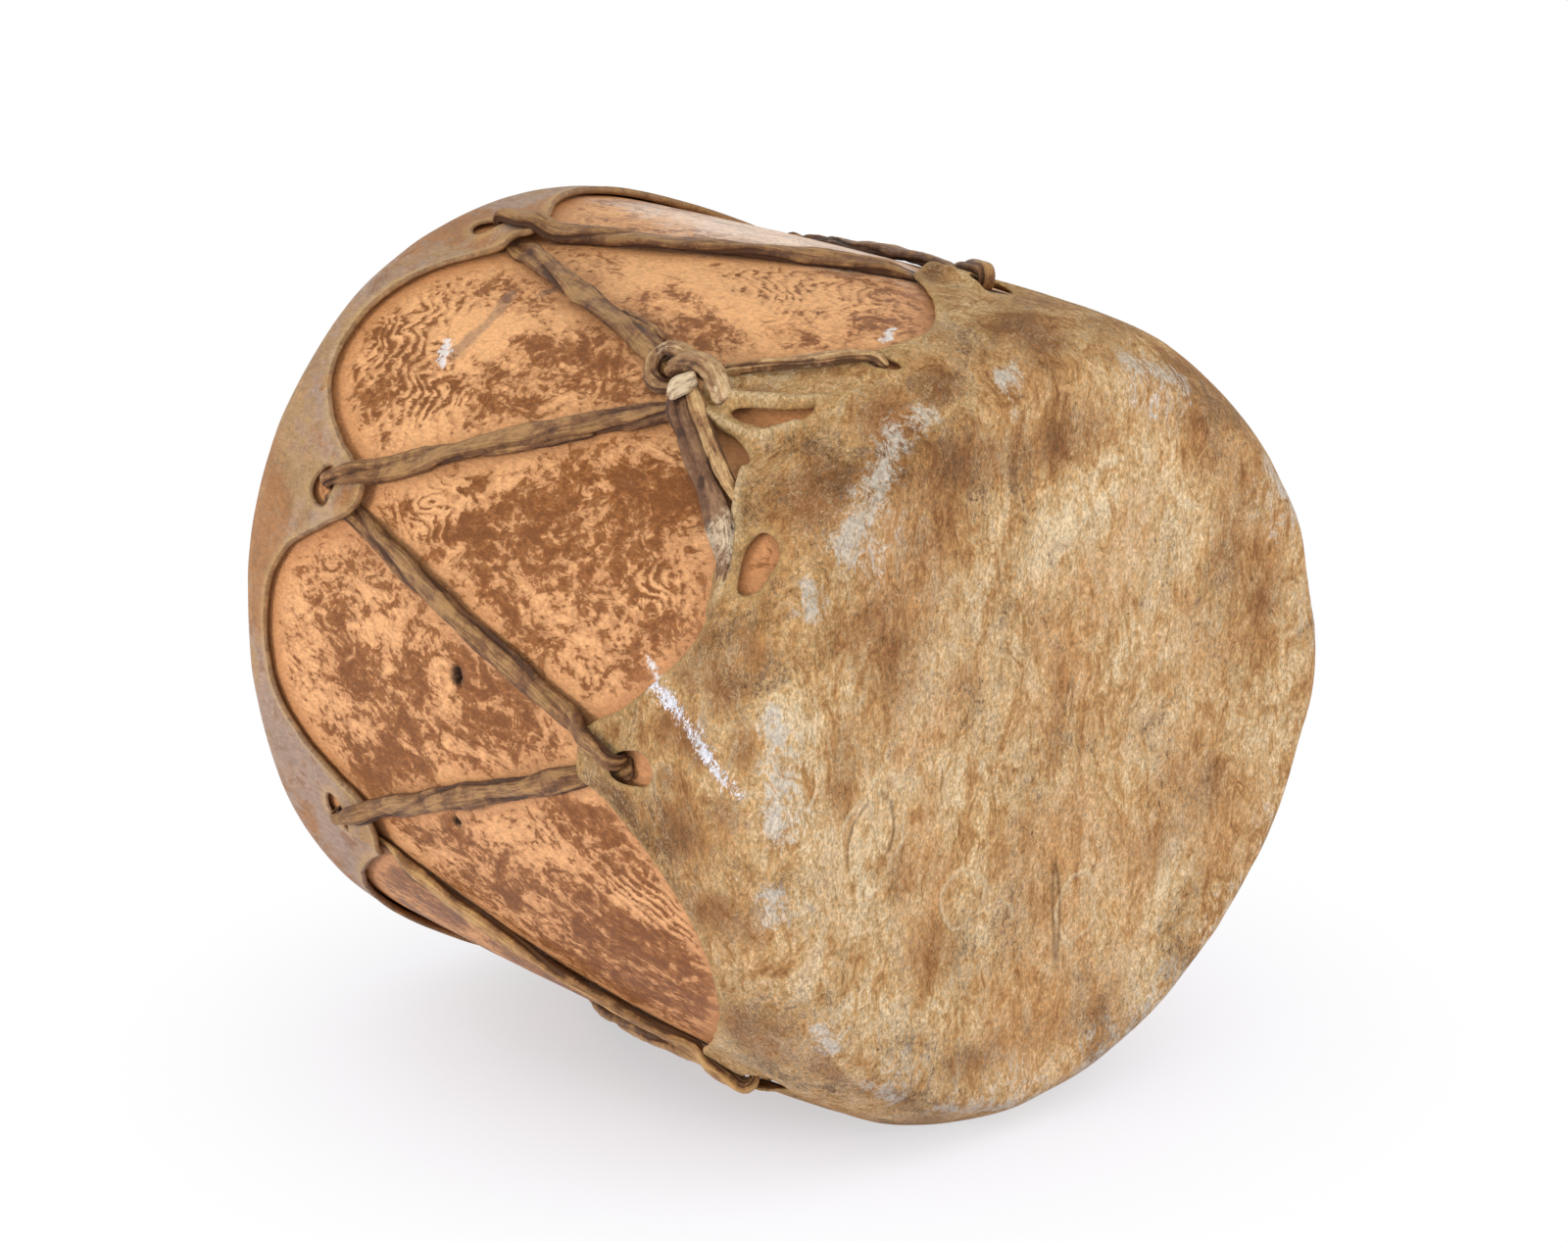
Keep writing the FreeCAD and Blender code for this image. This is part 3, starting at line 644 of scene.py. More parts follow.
paleFace = [(8, 42, 18, 20), (43, 71, 18, 20), (10, 84, 14, 14), (-38, -24, 12, 20), (-23, -45, 12, 12),
            (-82, -36, 12, 16), (20, -10, 22, 34),
            (36, 12, 16, 20), (58, 8, 12, 20), (-84, -8, 9, 16)]
hideStains = [
    (103, -67, 12, 12), (107, -80, 13, 9), (120, -71, 9, 12), (110, -93, 12, 10), (125, -89, 7, 9),
    (118, -104, 14, 9),
    (104, -60, 8, 8), (125, -44, 10, 12), (128, -30, 9, 10), (132, -21, 7, 8), (130, -79, 6, 9),
    (102, -13, 16, 7),
    (128, 0, 10, 12), (119, -126, 14, 14), (135, -133, 7, 12), (110, 60, 16, 16), (116, 120, 18, 16),
    (112, 170, 16, 20), (118, -160, 18, 14), (116, -200, 14, 16), (84, -34, 8, 4), (66, 2, 10, 8),
    (105, -72, 7, 5), (103, -79, 8, 5), (117, -82, 6, 4), (105, -86, 8, 5), (112, -89, 7, 5),
    (127, -66, 7, 8), (131, -106, 7, 12),
]
faceStains = [   # sideways, up and their reaches on the played face
    (98, 31, 9, 22), (78, 50, 10, 16), (87, 62, 12, 12), (66, 97, 16, 9), (4, 102, 24, 9),
    (-40, 104, 20, 10),
    (-62, 79, 14, 16), (-84, 57, 14, 18), (-3, 17, 4, 22), (48, -50, 18, 10), (77, -35, 8, 14),
    (-99, 12, 9, 22), (-36, -105, 24, 8), (12, -104, 20, 9), (-60, -62, 12, 12), (-78, 43, 12, 14),
    (-72, -30, 10, 14),
]


def playedMarks(along, angle, points):
    stain = spotField(along, angle, hideStains) * (along < 136)
    for spots, strength in ((faceStains, 1), (paleFace, -0.8)):
        for sideways, up, reachSideways, reachUp in spots:
            apart = ((points[:, 1] - sideways) / reachSideways)**2 + ((points[:, 2] - up) / reachUp)**2
            there = np.exp(-apart) * (along > 136)
            stain = stain + strength * there * (1 - np.abs(stain))
    outside = smoothBetween(np.hypot(points[:, 1], points[:, 2]), 105.0, 116.0)
    return {
        "stain": stain,
        "scuff": lineField(along, angle, shoulderScuffs) * outside,
        "chalk": lineField(along, angle, chalkStreak),
        "flat": smoothBetween(along, 139.0, 142.5),
    }


# THONGS

thong = {
    "width": 8.8, "thickness": 4.7, "tucked": 1.7, "climb": 15.0, "sides": 30, "step": 1.0,
    "wander": 0.9, "roughness": 0.16, "groove": 2.2, "grooveWidth": 0.28, "twist": 20.0, "spiral": 0.022,
    "square": 0.8, "endTaper": 0.75, "rest": 0.15, "pressed": 0.3,
    "grooves": ((1.1, 1.0), (2.3, 0.6), (4.4, 0.7)),   # where each starts round the strip, and its depth
}


def evenly(line, step):   # the same line with even spacing
    reach = np.concatenate([[0], np.cumsum(np.linalg.norm(np.diff(line[:, :3], axis=0), axis=1))])
    count = max(4, round(reach[-1] / step))
    wanted = np.linspace(0, reach[-1], count + 1)
    return np.stack([np.interp(wanted, reach, line[:, part]) for part in range(line.shape[1])], axis=1)


# A strip of rawhide along a line of points. Each row of the line is a point, the direction
# of the strip's side and its width and thickness.
def strip(name, line, replaced, seed, roughness=thong["roughness"]):
    line = evenly(line, thong["step"])
    places, side = line[:, :3], line[:, 3:6]
    widths, thicknesses = line[:, 6], line[:, 7]
    count = len(places)
    tangent = np.gradient(places, axis=0)
    tangent /= np.linalg.norm(tangent, axis=1, keepdims=True)
    side = side - (side * tangent).sum(1, keepdims=True) * tangent
    side /= np.linalg.norm(side, axis=1, keepdims=True)
    lift = np.cross(tangent, side)
    rng = np.random.default_rng(seed)
    travel = np.arange(count) * thong["step"]
    phases = rng.random(8) * 2 * math.pi

    def slow(size, number):
        first, second = phases[number], phases[number + 1]
        return np.sin(travel / size + first) * 0.6 + np.sin(travel / size * 2.3 + second) * 0.4

    twistBy = np.radians(thong["twist"] * slow(17.0, 0))[:, None]
    sides = thong["sides"]
    turn = np.linspace(0, 2 * math.pi, sides, endpoint=False)
    ends = np.minimum(travel, travel[-1] - travel) / 2.0
    close = thong["endTaper"] + (1 - thong["endTaper"]) * np.sqrt(np.clip(ends, 0, 1))
    across = np.sign(np.cos(turn)) * np.abs(np.cos(turn))**thong["square"]
    upward = np.sign(np.sin(turn)) * np.abs(np.sin(turn))**thong["square"]
    fullness = 1 + 0.13 * slow(9.0, 2)[:, None]
    bodyWidth = (widths * close / 2)[:, None] * fullness * across
    bodyHeight = (thicknesses * close / 2)[:, None] * (2 - fullness) * upward
    grooves = np.zeros((count, sides))
    spiral = thong["spiral"] * travel * (1 if seed % 2 else -1)
    for number, (start, depth) in enumerate(thong["grooves"]):
        centre = (start + spiral + 0.5 * slow(23.0, 4 + number % 2))[:, None]
        fade = depth * (0.65 + 0.35 * slow(15.0, 1 + number))[:, None]
        apart = (turn - centre + math.pi) % (2 * math.pi) - math.pi
        grooves += fade * np.exp(-(apart / thong["grooveWidth"])**2)
    deepest = np.minimum(thong["groove"], 0.38 * thicknesses)[:, None]
    shrink = 1 - deepest * grooves / np.maximum(np.hypot(bodyWidth, bodyHeight), 0.8)
    bodyWidth = bodyWidth * shrink
    bodyHeight = bodyHeight * shrink
    turnedWidth = bodyWidth * np.cos(twistBy) - bodyHeight * np.sin(twistBy)
    turnedHeight = bodyWidth * np.sin(twistBy) + bodyHeight * np.cos(twistBy)
    ring = places[:, None] + turnedWidth[..., None] * side[:, None] + turnedHeight[..., None] * lift[:, None]
    ring = ring + 0.35 * thong["wander"] * slow(14.0, 5)[:, None, None] * side[:, None]
    bumps = softNoise(ring, 2.6, seed * 0.37) * roughness
    bumps = bumps + softNoise(ring, 7.0, seed * 0.91) * roughness * 1.3
    outward = ring - places[:, None]
    outward /= np.linalg.norm(outward, axis=2, keepdims=True) + 1e-6
    ring = ring + outward * bumps[..., None]
    # lighter on each strip's top and darker in its grooves and underneath: partly wear, partly painted
    # highlight and shade
    wearAndLight = np.clip(0.5 + 0.5 * upward[None] - grooves + bumps, 0, 1)
    quads = gridFaces(count, sides).tolist()   # rows run along the strip, columns round it
    points = np.concatenate([ring.reshape(-1, 3), places[:1] - tangent[:1] * 0.4,
                             places[-1:] + tangent[-1:] * 0.4])
    first, last = count * sides, count * sides + 1
    for number in range(sides):
        after = (number + 1) % sides
        quads.append([first, after, number])
        quads.append([last, (count - 1) * sides + number, (count - 1) * sides + after])
    paleness = line[:, 8] if line.shape[1] > 8 else line[:, 6] * 0
    texture = {
        "worn": wearAndLight, "paleness": wearAndLight * 0 + paleness[:, None],
        "along": travel[:, None] + wearAndLight * 0 + seed * 40,
        "acrossX": np.cos(turn) * widths[:, None] / 2, "acrossY": np.sin(turn) * widths[:, None] / 2,
    }
    makePiece(name, points, quads, replaced,
              {label: np.concatenate([values.reshape(-1), values[0, :1], values[-1, :1]])
               for label, values in texture.items()})


def sideOf(places):   # the direction across a strip that lies flat on the drum
    heading = np.gradient(places, axis=0)
    outward = places.copy()
    outward[:, 0] = 0
    across = np.cross(outward, heading)
    return across / (np.linalg.norm(across, axis=1, keepdims=True) + 1e-9)


# A strand through rows of distance, angle, middle height, width, thickness and paleness
def strand(name, path, replaced, seed, roughness=thong["roughness"]):
    rows = catmull([row if len(row) > 5 else (*row, 0) for row in path], 8)
    places = surfacePoint(rows[:, 0], rows[:, 1], rows[:, 2])
    flat = surfacePoint(rows[:, 0], rows[:, 1], rows[:, 2] * 0)
    strip(name, np.concatenate([places, sideOf(flat), rows[:, 3:]], axis=1), replaced, seed, roughness)


Hold = namedtuple("Hold", "along angle tucked")   # an end of a run


def holdOf(sign, tab, wrap=0):
    return Hold(sign * holeDistance(tab), tab.angle + wrap, True)


knotHold = Hold(0.30 * log["half"], -34.1, False)
restartHold = Hold(0.42 * log["half"], -39.4, False)
runBows = [-3.5, 0, 0, 0, 0, -1.0, 5.2] + [0] * 7


def lacingRuns():   # where each run starts and finishes, and its bow
    stops = []
    for playedTab, farTab in zip(playedTabs, farTabs):
        stops.append([holdOf(1, playedTab)] * 2 if playedTab.threaded else (knotHold, restartHold))
        stops.append([holdOf(-1, farTab)] * 2)
    stops.append((holdOf(1, playedTabs[0], -360), None))
    return [(start, finish, bow) for (_, start), (finish, _), bow in zip(stops[:-1], stops[1:], runBows)]


def alongRun(start, rise, turn, bow, portion):   # distance and angle at a share of the run's length
    return start.along + rise * portion, start.angle + turn * portion + bow * 4 * portion * (1 - portion)


def addTucks():   # where each run starts beneath its tab
    for start, finish, _ in lacingRuns():
        if start.tucked:
            shape = playedShape if start.along > 0 else farShape
            rise, turn = finish.along - start.along, finish.angle - start.angle
            share = (tabHole["setback"] + 3) / math.hypot(rise, log["belly"] * math.radians(turn))
            along, angle = alongRun(start, rise, turn, 0, np.linspace(0.15, 1, 6)[:, None] * share)
            shape.tucks.append(np.concatenate([along * shape.end.sign, heldArc(angle)], axis=1))


# How high the drum's surface is above the wood along a line: over a hide or on the wood
def ground(along, angle):
    height = np.full(len(along), thong["rest"])
    for shape in (playedShape, farShape):
        distance = along * shape.end.sign
        inset = shape.hideDistance(np.stack([distance, toArc(angle)], axis=1))
        over = gap + hideLift(shape, distance, angle, inset) + hideThickness - thong["pressed"]
        height = np.where((inset > -1.5) & (distance > 30), over, height)
    return height


# A run from beneath one tab to over the next, turned down into its hole
def runLine(start, finish, bow):
    rise, turn = finish.along - start.along, finish.angle - start.angle
    length = math.hypot(rise, log["belly"] * math.radians(turn))
    if finish.tucked:   # it drops in at the near side of the hole
        kept = 1 - tabHole["thongShort"] / length
        rise, turn, length = rise * kept, turn * kept, length * kept
    tipAt = tabHole["setback"] + thong["width"] * 0.35
    travel = np.append(np.arange(2.0 if start.tucked else 0.0, length, 1.5), length)
    under = ground(*alongRun(start, rise, turn, bow, travel / length))
    thick = np.full(len(travel), thong["thickness"])
    if start.tucked:
        under = np.where(travel < tipAt + 5, thong["rest"], under)
        grown = smooth((travel - tipAt + 3) / thong["climb"])
        thick = thong["tucked"] + (thong["thickness"] - thong["tucked"]) * grown
    reach = np.arange(-6, 7)
    kernel = np.exp(-(reach / 3.0)**2)
    smoothed = np.convolve(np.pad(under, 6, "edge"), kernel / kernel.sum(), "valid")
    under = np.where(travel < tipAt, under, smoothed) if start.tucked else smoothed
    heading = np.stack([travel, under + thick / 2], axis=1)
    if finish.tucked:   # down into the hole and back under the tab
        top = heading[-1, 1]
        bottom = gap + 0.8
        middle, radius = (top + bottom) / 2, (top - bottom) / 2
        turns = np.linspace(0, math.pi, 9)[1:]
        loop = np.stack([length + radius * 0.9 * np.sin(turns), middle + radius * np.cos(turns)], axis=1)
        back = np.array([[length - 3, bottom], [length - 7, bottom]])
        heading = np.concatenate([heading, loop, back])
        thick = np.concatenate([thick, np.linspace(thick[-1], 1.9, len(loop)), [1.7, 1.6]])
    portion = heading[:, 0] / length
    places = surfacePoint(*alongRun(start, rise, turn, bow, portion), heading[:, 1])
    straight = np.linspace(0, 1, 40)
    across = sideOf(surfacePoint(*alongRun(start, rise, turn, bow, straight), straight * 0))
    side = np.stack([np.interp(portion, straight, across[:, part]) for part in range(3)], axis=1)
    slim = np.interp(thick, (thong["tucked"], thong["thickness"]), (0.94, 1.0)) * thong["width"]
    if finish.tucked:
        slim = slim * (1 - 0.36 * smooth((portion * length - (length - 11)) / 11))
    return np.concatenate([places, side, slim[:, None], thick[:, None]], axis=1)


spliceTails = [   # spare ends of the splices beside their runs, as rows of distance, angle, height and size
    [(-3, -28.1, 1.9, 3.4, 2.6), (8, -28.6, 1.9, 4.4, 3.0), (18, -29.4, 2.0, 4.6, 3.0),
     (26, -30.4, 2.0, 4.6, 3.0)],
    [(-19, -53.1, 1.8, 4.2, 2.6), (-14, -52.6, 1.9, 4.8, 2.8), (0, -50.7, 1.9, 4.4, 3.0),
     (14, -48.4, 1.9, 4.2, 3.0),
     (27, -46.1, 1.6, 3.0, 2.2)],
    [(-44, 27.4, 1.8, 3.6, 2.6), (-28, 25.2, 1.9, 4.8, 3.0), (-8, 22.4, 1.9, 4.8, 3.0),
     (12, 19.6, 1.8, 4.4, 3.0),
     (28, 17.5, 1.6, 3.0, 2.2)],
]


def makeThongs():
    for number, (start, finish, bow) in enumerate(lacingRuns()):
        strip(f"thongRun{number + 1:02d}", runLine(start, finish, bow), [f"lacing_run_{number + 1:02d}"],
              20 + number)
    for number, path in enumerate(spliceTails, 1):
        strand(f"spliceTail{number}", path, [f"splice_tail_{number}"], 50 + number)


# THE KNOT: rows of distance, angle, height of the middle, width and thickness

knotStrands = {
    "knotLoop": ([(47.0, -36.9, 2.0, 4.0, 3.0), (42.0, -37.3, 2.8, 5.0, 3.6), (37.0, -36.6, 4.2, 5.8, 4.0),
                  (35.0, -34.6, 5.8, 6.4, 4.2, 0.2), (37.6, -32.9, 7.0, 6.6, 4.2, 0.3),
                  (43.0, -32.3, 7.2, 6.4, 4.0, 0.2),
                  (50.0, -32.6, 6.2, 5.8, 3.6), (57.0, -33.1, 4.8, 5.0, 3.2)], ["knot_loop"]),
    "knotStrand": ([(41.5, -34.9, 3.2, 6.0, 4.0), (46.5, -34.4, 6.2, 7.2, 4.6), (52.0, -34.0, 8.0, 7.8, 5.0),
                    (58.5, -33.9, 8.6, 8.2, 5.0), (65.0, -34.6, 8.2, 8.0, 4.6, 0.2),
                    (70.5, -35.8, 7.0, 7.4, 4.0, 0.4),
                    (75.0, -37.0, 5.6, 6.4, 3.2, 0.5)], ["knot_core"]),
    "cutStub": ([(56.0, -39.4, 8.4, 5.6, 4.2, 0.6), (57.4, -38.4, 9.4, 7.8, 5.4, 0.8),
                 (59.2, -37.2, 9.6, 8.0, 5.6, 0.8),
                 (61.2, -36.0, 8.6, 5.8, 4.4, 0.6)], ["cut_stub"]),
    "broadStrand": ([(54.0, -37.4, 5.0, 6.5, 3.2), (57.5, -38.9, 5.8, 8.6, 3.2),
                     (62.5, -40.7, 5.8, 9.4, 3.0),
                     (72.0, -43.6, 4.4, 9.2, 3.0), (82.0, -46.6, 3.2, 8.4, 3.0),
                     (92.5, -49.7, 3.4, 8.2, 3.0),
                     (98.0, -51.2, 4.6, 8.8, 3.0, 0.1), (102.0, -52.3, 5.6, 10.2, 3.2, 0.5),
                     (105.8, -53.7, 5.6, 10.4, 3.2, 0.7), (108.6, -55.6, 4.8, 8.6, 3.0, 0.5),
                     (110.0, -57.8, 4.0, 6.6, 2.6, 0.2), (110.8, -60.4, 3.2, 5.2, 2.2),
                     (111.8, -62.8, 2.0, 3.6, 1.4)],
                    ["broad_knot_strand"]),
    "narrowStrand": ([(57.0, -36.4, 7.2, 5.4, 3.4, 0.5), (62.0, -37.6, 6.8, 6.0, 3.6, 0.3),
                      (72.0, -40.3, 5.6, 6.0, 3.4),
                      (82.0, -43.1, 5.0, 5.8, 3.2), (92.0, -45.9, 4.8, 5.2, 2.8),
                      (98.0, -47.5, 4.2, 5.0, 2.6),
                      (102.6, -48.6, 2.8, 4.0, 2.2)], ["narrow_knot_strand"]),
    "slitStrand": ([(60.5, -34.0, 4.0, 3.8, 2.8), (66.0, -32.8, 5.0, 4.4, 3.0), (73.3, -31.1, 5.6, 4.8, 3.2),
                    (82.0, -29.5, 6.0, 5.2, 3.2), (90.0, -27.9, 6.0, 6.0, 3.4, 0.2),
                    (98.0, -25.7, 5.6, 6.6, 3.4, 0.2),
                    (104.5, -23.9, 5.2, 6.2, 3.0), (110.0, -22.7, 4.2, 5.0, 2.6),
                    (113.5, -22.4, 1.8, 3.8, 2.0)],
                   ["slit_knot_strand"]),
}


def makeKnot():
    for number, (name, (path, replaced)) in enumerate(knotStrands.items()):
        strand(name, path, replaced, 70 + number, roughness=0.2 if name != "cutStub" else 0.5)


# THE LOG

logMesh = {
    "columns": 600, "alongStep": 1.3, "bendStep": 1.5, "boreRows": 60,
    "dents": 0.22, "facets": 0.3, "chisel": 0.8, "pitReach": 13.0, "shelterReach": 7.0,
}
pits = [(-7.5, -83.6, 2.9, 5.0), (-15.9, -107.1, 1.8, 3.0), (39.1, 71.0, 2.6, 4.5)]
paleNicks = [([(-69.0, -39.6), (-64.5, -42.6)], 2.8), ([(85.5, -71.8), (91.5, -73.6)], 1.5),
             ([(95.0, -14.5), (98.5, -16.5)], 2.2)]
smears = [([(-60.3, -29.5), (-57.9, -34.5), (-61.5, -40.5)], 3.4), ([(-40.0, -24.0), (-47.0, -27.5)], 2.6)]
darkWood = [   # distance, angle and reach along and around of the darkest patina
    (-8, -35, 30, 9), (-90, -49, 14, 12), (28, -40, 12, 7), (-36, -45, 26, 10), (62, -56, 24, 16),
    (80, -50, 14, 10),
    (32, -60, 24, 18), (-6, -64, 16, 14), (-80, -80, 12, 5), (-28, -88, 10, 8), (50, -96, 12, 4),
    (97, -92, 10, 5), (72, -118, 12, 3), (-10, -150, 40, 18), (40, -190, 30, 20), (-30, -240, 30, 20),
    (30, 110, 40, 20), (-50, 60, 30, 16),
]
paleWoodAndPaintedLight = [   # the same for the palest wood; the spots low on the side also paint light onto wood that lies in shade
    (75, -108, 15, 8), (96, -111, 14, 6), (28, -106, 36, 10), (-7, -114, 26, 7), (-48, -117, 20, 6),
    (-60, -82, 16, 9),
    (-62, -36, 20, 9), (30, -13, 62, 20), (-50, 3, 70, 10),
]
paintedSheenWood = [(-20, 8, 95, 34)]   # the same for a painted sheen on the top of the log
rippledWood = [   # the same for the ripples left by the scraping
    (-88, -40, 26, 22), (-62, -48, 22, 14), (-2, -33, 16, 10), (-30, -58, 22, 22), (78, -63, 12, 10),
    (88, -107, 28, 12), (-20, 10, 30, 16), (46, -12, 34, 16), (-60, -160, 40, 30), (40, -230, 40, 30),
    (-40, 100, 40, 30),
]


def outerRows(end):   # rows of distance and radius from the middle to the log's end
    rows = end.profile(0, logMesh["alongStep"], logMesh["bendStep"], 2)
    return rows[rows[:, 2] < 0.999, :2] * (end.sign, 1)


def makeLog():
    outerProfile = np.concatenate([outerRows(farEnd)[::-1], outerRows(playedEnd)[1:]])
    rows, columns = len(outerProfile), logMesh["columns"]
    along = np.broadcast_to(outerProfile[:, 0:1], (rows, columns)).copy()
    radius = outerProfile[:, 1:2] * np.ones((1, columns))
    angle = ringAngles(rows, columns)
    arc = toArc(angle)
    sunk = np.zeros((rows, columns))
    # draw the grid together at each pit, then sink it
    for pitAlong, pitAngle, pitRadius, pitDepth in pits:
        pitArc = toArc(pitAngle)
        offArc = (arc - pitArc + wholeArc / 2) % wholeArc - wholeArc / 2
        offAlong = along - pitAlong
        away = np.hypot(offAlong, offArc) + 1e-9
        pull = np.where(away < logMesh["pitReach"], (away / logMesh["pitReach"])**0.85, 1)
        along = pitAlong + offAlong * pull
        arc = arc + offArc * (pull - 1)
        away = away * pull
        turn = np.arctan2(offArc, offAlong)
        edge = pitRadius * (1 + 0.25 * np.sin(3 * turn + pitAngle) + 0.16 * np.sin(5 * turn + 1.0))
        sunk += pitDepth * (1 - smoothBetween(away, edge * 0.55, edge * 1.05))
        sunk += 0.4 * np.exp(-((away - edge * 1.6) / 2.5)**2)
    angle = toAngle(arc)
    base = around(along, radius, angle)
    radius = radius - sunk - logMesh["dents"] * np.abs(softNoise(base * (0.35, 1, 1), 9.0, 2.2))
    radius = radius - logMesh["facets"] * (0.5 + 0.5 * softNoise(base * (0.3, 1, 1), 26.0, 6.6)) * 0.6
    outer = around(along, radius, angle).reshape(-1, 3)
    facesList = gridFaces(rows, columns).tolist()
    boreRows = logMesh["boreRows"]
    boreAlong = np.linspace(outerProfile[-1, 0], outerProfile[0, 0],
                            boreRows)[:, None] * np.ones((1, columns))
    boreTurn = np.radians(ringAngles(boreRows, columns))

    def bored(depth):
        return np.stack([boreAlong, (log["bore"] + depth) * np.sin(boreTurn),
                         (log["bore"] + depth) * np.cos(boreTurn)], axis=-1)

    chiselled = logMesh["chisel"] * np.abs(softNoise(bored(0) * (0.4, 1, 1), 11.0, 8.1))
    points = np.concatenate([outer, bored(chiselled).reshape(-1, 3)])
    facesList += (gridFaces(boreRows, columns) + rows * columns).tolist()
    startOuter, lastOuter = 0, (rows - 1) * columns
    startBore, lastBore = rows * columns, (rows + boreRows - 1) * columns
    for number in range(columns):
        after = (number + 1) % columns
        facesList.append([lastOuter + number, startBore + number, startBore + after, lastOuter + after])
        facesList.append([lastBore + number, startOuter + number, startOuter + after, lastBore + after])
    spotAlong, spotAngle = points[:, 0], np.degrees(np.arctan2(points[:, 1], points[:, 2]))
    unrolled = np.stack([spotAlong, toArc(spotAngle)], axis=1)
    away = np.full(len(points), edgeReach)   # from the thongs and the hides' edges
    for start, finish, bow in lacingRuns():
        lineAlong, lineAngle = alongRun(start, finish.along - start.along, finish.angle - start.angle, bow,
                                        np.linspace(0, 1, 30))
        for wrap in (0, 360):
            line = np.stack([lineAlong, toArc(lineAngle + wrap)], axis=1)
            away = np.minimum(away, nearestEdge(unrolled, line))
    for shape in (playedShape, farShape):
        for line in [shape.edgeLine, *shape.outlines]:
            away = np.minimum(away, nearestEdge(unrolled, line * (shape.end.sign, 1)))
    shelter = np.exp(-(away / logMesh["shelterReach"])**2)
    hollow = np.zeros(len(points))
    ringed = np.zeros(len(points))
    for pitAlong, pitAngle, pitRadius, _ in pits:
        spread = np.hypot(spotAlong - pitAlong, arcApart(spotAngle, pitAngle))
        hollow = np.maximum(hollow, 1 - smoothBetween(spread, pitRadius * 0.8, pitRadius * 1.6))
        ringed = np.maximum(ringed, np.exp(-spread / 16))
    attributes = {"shelter": shelter, "hollow": hollow, "ringed": ringed}
    for label, spots in (("patinaAndPaintedLight", darkWood), ("rippled", rippledWood), ("paintedSheen", paintedSheenWood)):
        attributes[label] = spotField(spotAlong, spotAngle, spots)
    # the pale spots are partly pale wood and partly painted light on the lower side of the log
    attributes["patinaAndPaintedLight"] -= spotField(spotAlong, spotAngle, paleWoodAndPaintedLight) * 0.9
    for label, paths in (("smeared", smears), ("nick", paleNicks)):
        attributes[label] = lineField(spotAlong, spotAngle, paths)
    makePiece("logWood", points, facesList, ["log_shell"], attributes)


playedShape = Head(playedEnd, playedTabs, tornEdge, [strandSlit, strandOval, tabWindow])
farShape = Head(farEnd, farTabs, [], [])
addTucks()
makeLog()
print("log made")
makeHead("playedHide", playedShape, "played_head", playedMarks)
makeHead("farHide", farShape, "far_head")
print("heads made")
makeThongs()
makeKnot()
print("thongs and knot made")


# MATERIALS

class Wire:   # one socket of a material's nodes, with arithmetic that adds Math nodes
    def __init__(self, tree, socket):
        self.tree = tree
        self.socket = socket

    def maths(self, operation, *others):
        return addNode(self.tree, "ShaderNodeMath", {"operation": operation},
                       dict(enumerate((self, *others))))

    def __add__(self, other):
        return self.maths("ADD", other)

    __radd__ = __add__

    def __sub__(self, other):
        return self.maths("SUBTRACT", other)

    def __rsub__(self, other):
        return self * -1 + other

    def __mul__(self, other):
        return self.maths("MULTIPLY", other)

    __rmul__ = __mul__

    def swing(self, strength):   # a noise's ups and downs about its middle
        return (self - 0.5) * strength


def addNode(tree, kind, settings=None, inputs=None, output=0):
    node = tree.nodes.new(kind)
    for name, value in (settings or {}).items():
        setattr(node, name, value)
    for name, value in (inputs or {}).items():
        if isinstance(value, Wire):
            tree.links.new(value.socket, node.inputs[name])
        else:
            node.inputs[name].default_value = value
    return Wire(tree, node.outputs[output])


class Surface:   # a material being made, with the nodes that its finishes share
    def __init__(self, name):
        self.material = bpy.data.materials.new(name)
        self.material.use_nodes = True
        self.tree = self.material.node_tree
        self.shader = self.tree.nodes["Principled BSDF"]
        self.spot = addNode(self.tree, "ShaderNodeTexCoord", output=3)

    def noise(self, scale, detail=4.0, roughness=0.55, distortion=0.0, stretch=None, shift=(0, 0, 0)):
        spot = self.spot
        if stretch or any(shift):
            spot = addNode(self.tree, "ShaderNodeMapping", {"vector_type": "POINT"},
                           {"Vector": spot, "Scale": stretch or (1, 1, 1), "Location": shift})
        return addNode(self.tree, "ShaderNodeTexNoise", {},
                       {"Vector": spot, "Scale": scale, "Detail": detail, "Roughness": roughness,
                        "Distortion": distortion})

    def attribute(self, name):
        return addNode(self.tree, "ShaderNodeAttribute", {"attribute_name": name}, output=2)

    def between(self, value, low, high):
        return addNode(self.tree, "ShaderNodeMapRange", {"interpolation_type": "SMOOTHSTEP"},
                       {"Value": value, "From Min": low, "From Max": high})

    def mix(self, factor, under, over):   # two colours
        inputs = {0: factor}
        for number, colour in ((6, under), (7, over)):
            inputs[number] = colour if isinstance(colour, Wire) else (*colour, 1)
        return addNode(self.tree, "ShaderNodeMix", {"data_type": "RGBA"}, inputs, 2)

    def shade(self, colour, factor):   # a colour made darker or lighter by a number
        grey = addNode(self.tree, "ShaderNodeCombineXYZ", {}, {0: factor, 1: factor, 2: factor})
        return addNode(self.tree, "ShaderNodeVectorMath", {"operation": "MULTIPLY"}, {0: colour, 1: grey})

    def finish(self, colour, roughness, height, reach, pieces, specular):
        bump = addNode(self.tree, "ShaderNodeBump", {},
                       {"Height": height, "Distance": reach, "Strength": 1.0})
        links = self.tree.links
        links.new(colour.socket, self.shader.inputs["Base Color"])
        links.new(roughness.socket, self.shader.inputs["Roughness"])
        links.new(bump.socket, self.shader.inputs["Normal"])
        self.shader.inputs["Specular IOR Level"].default_value = specular
        for name in pieces:
            mesh = bpy.data.objects[name].data
            mesh.materials.clear()
            mesh.materials.append(self.material)


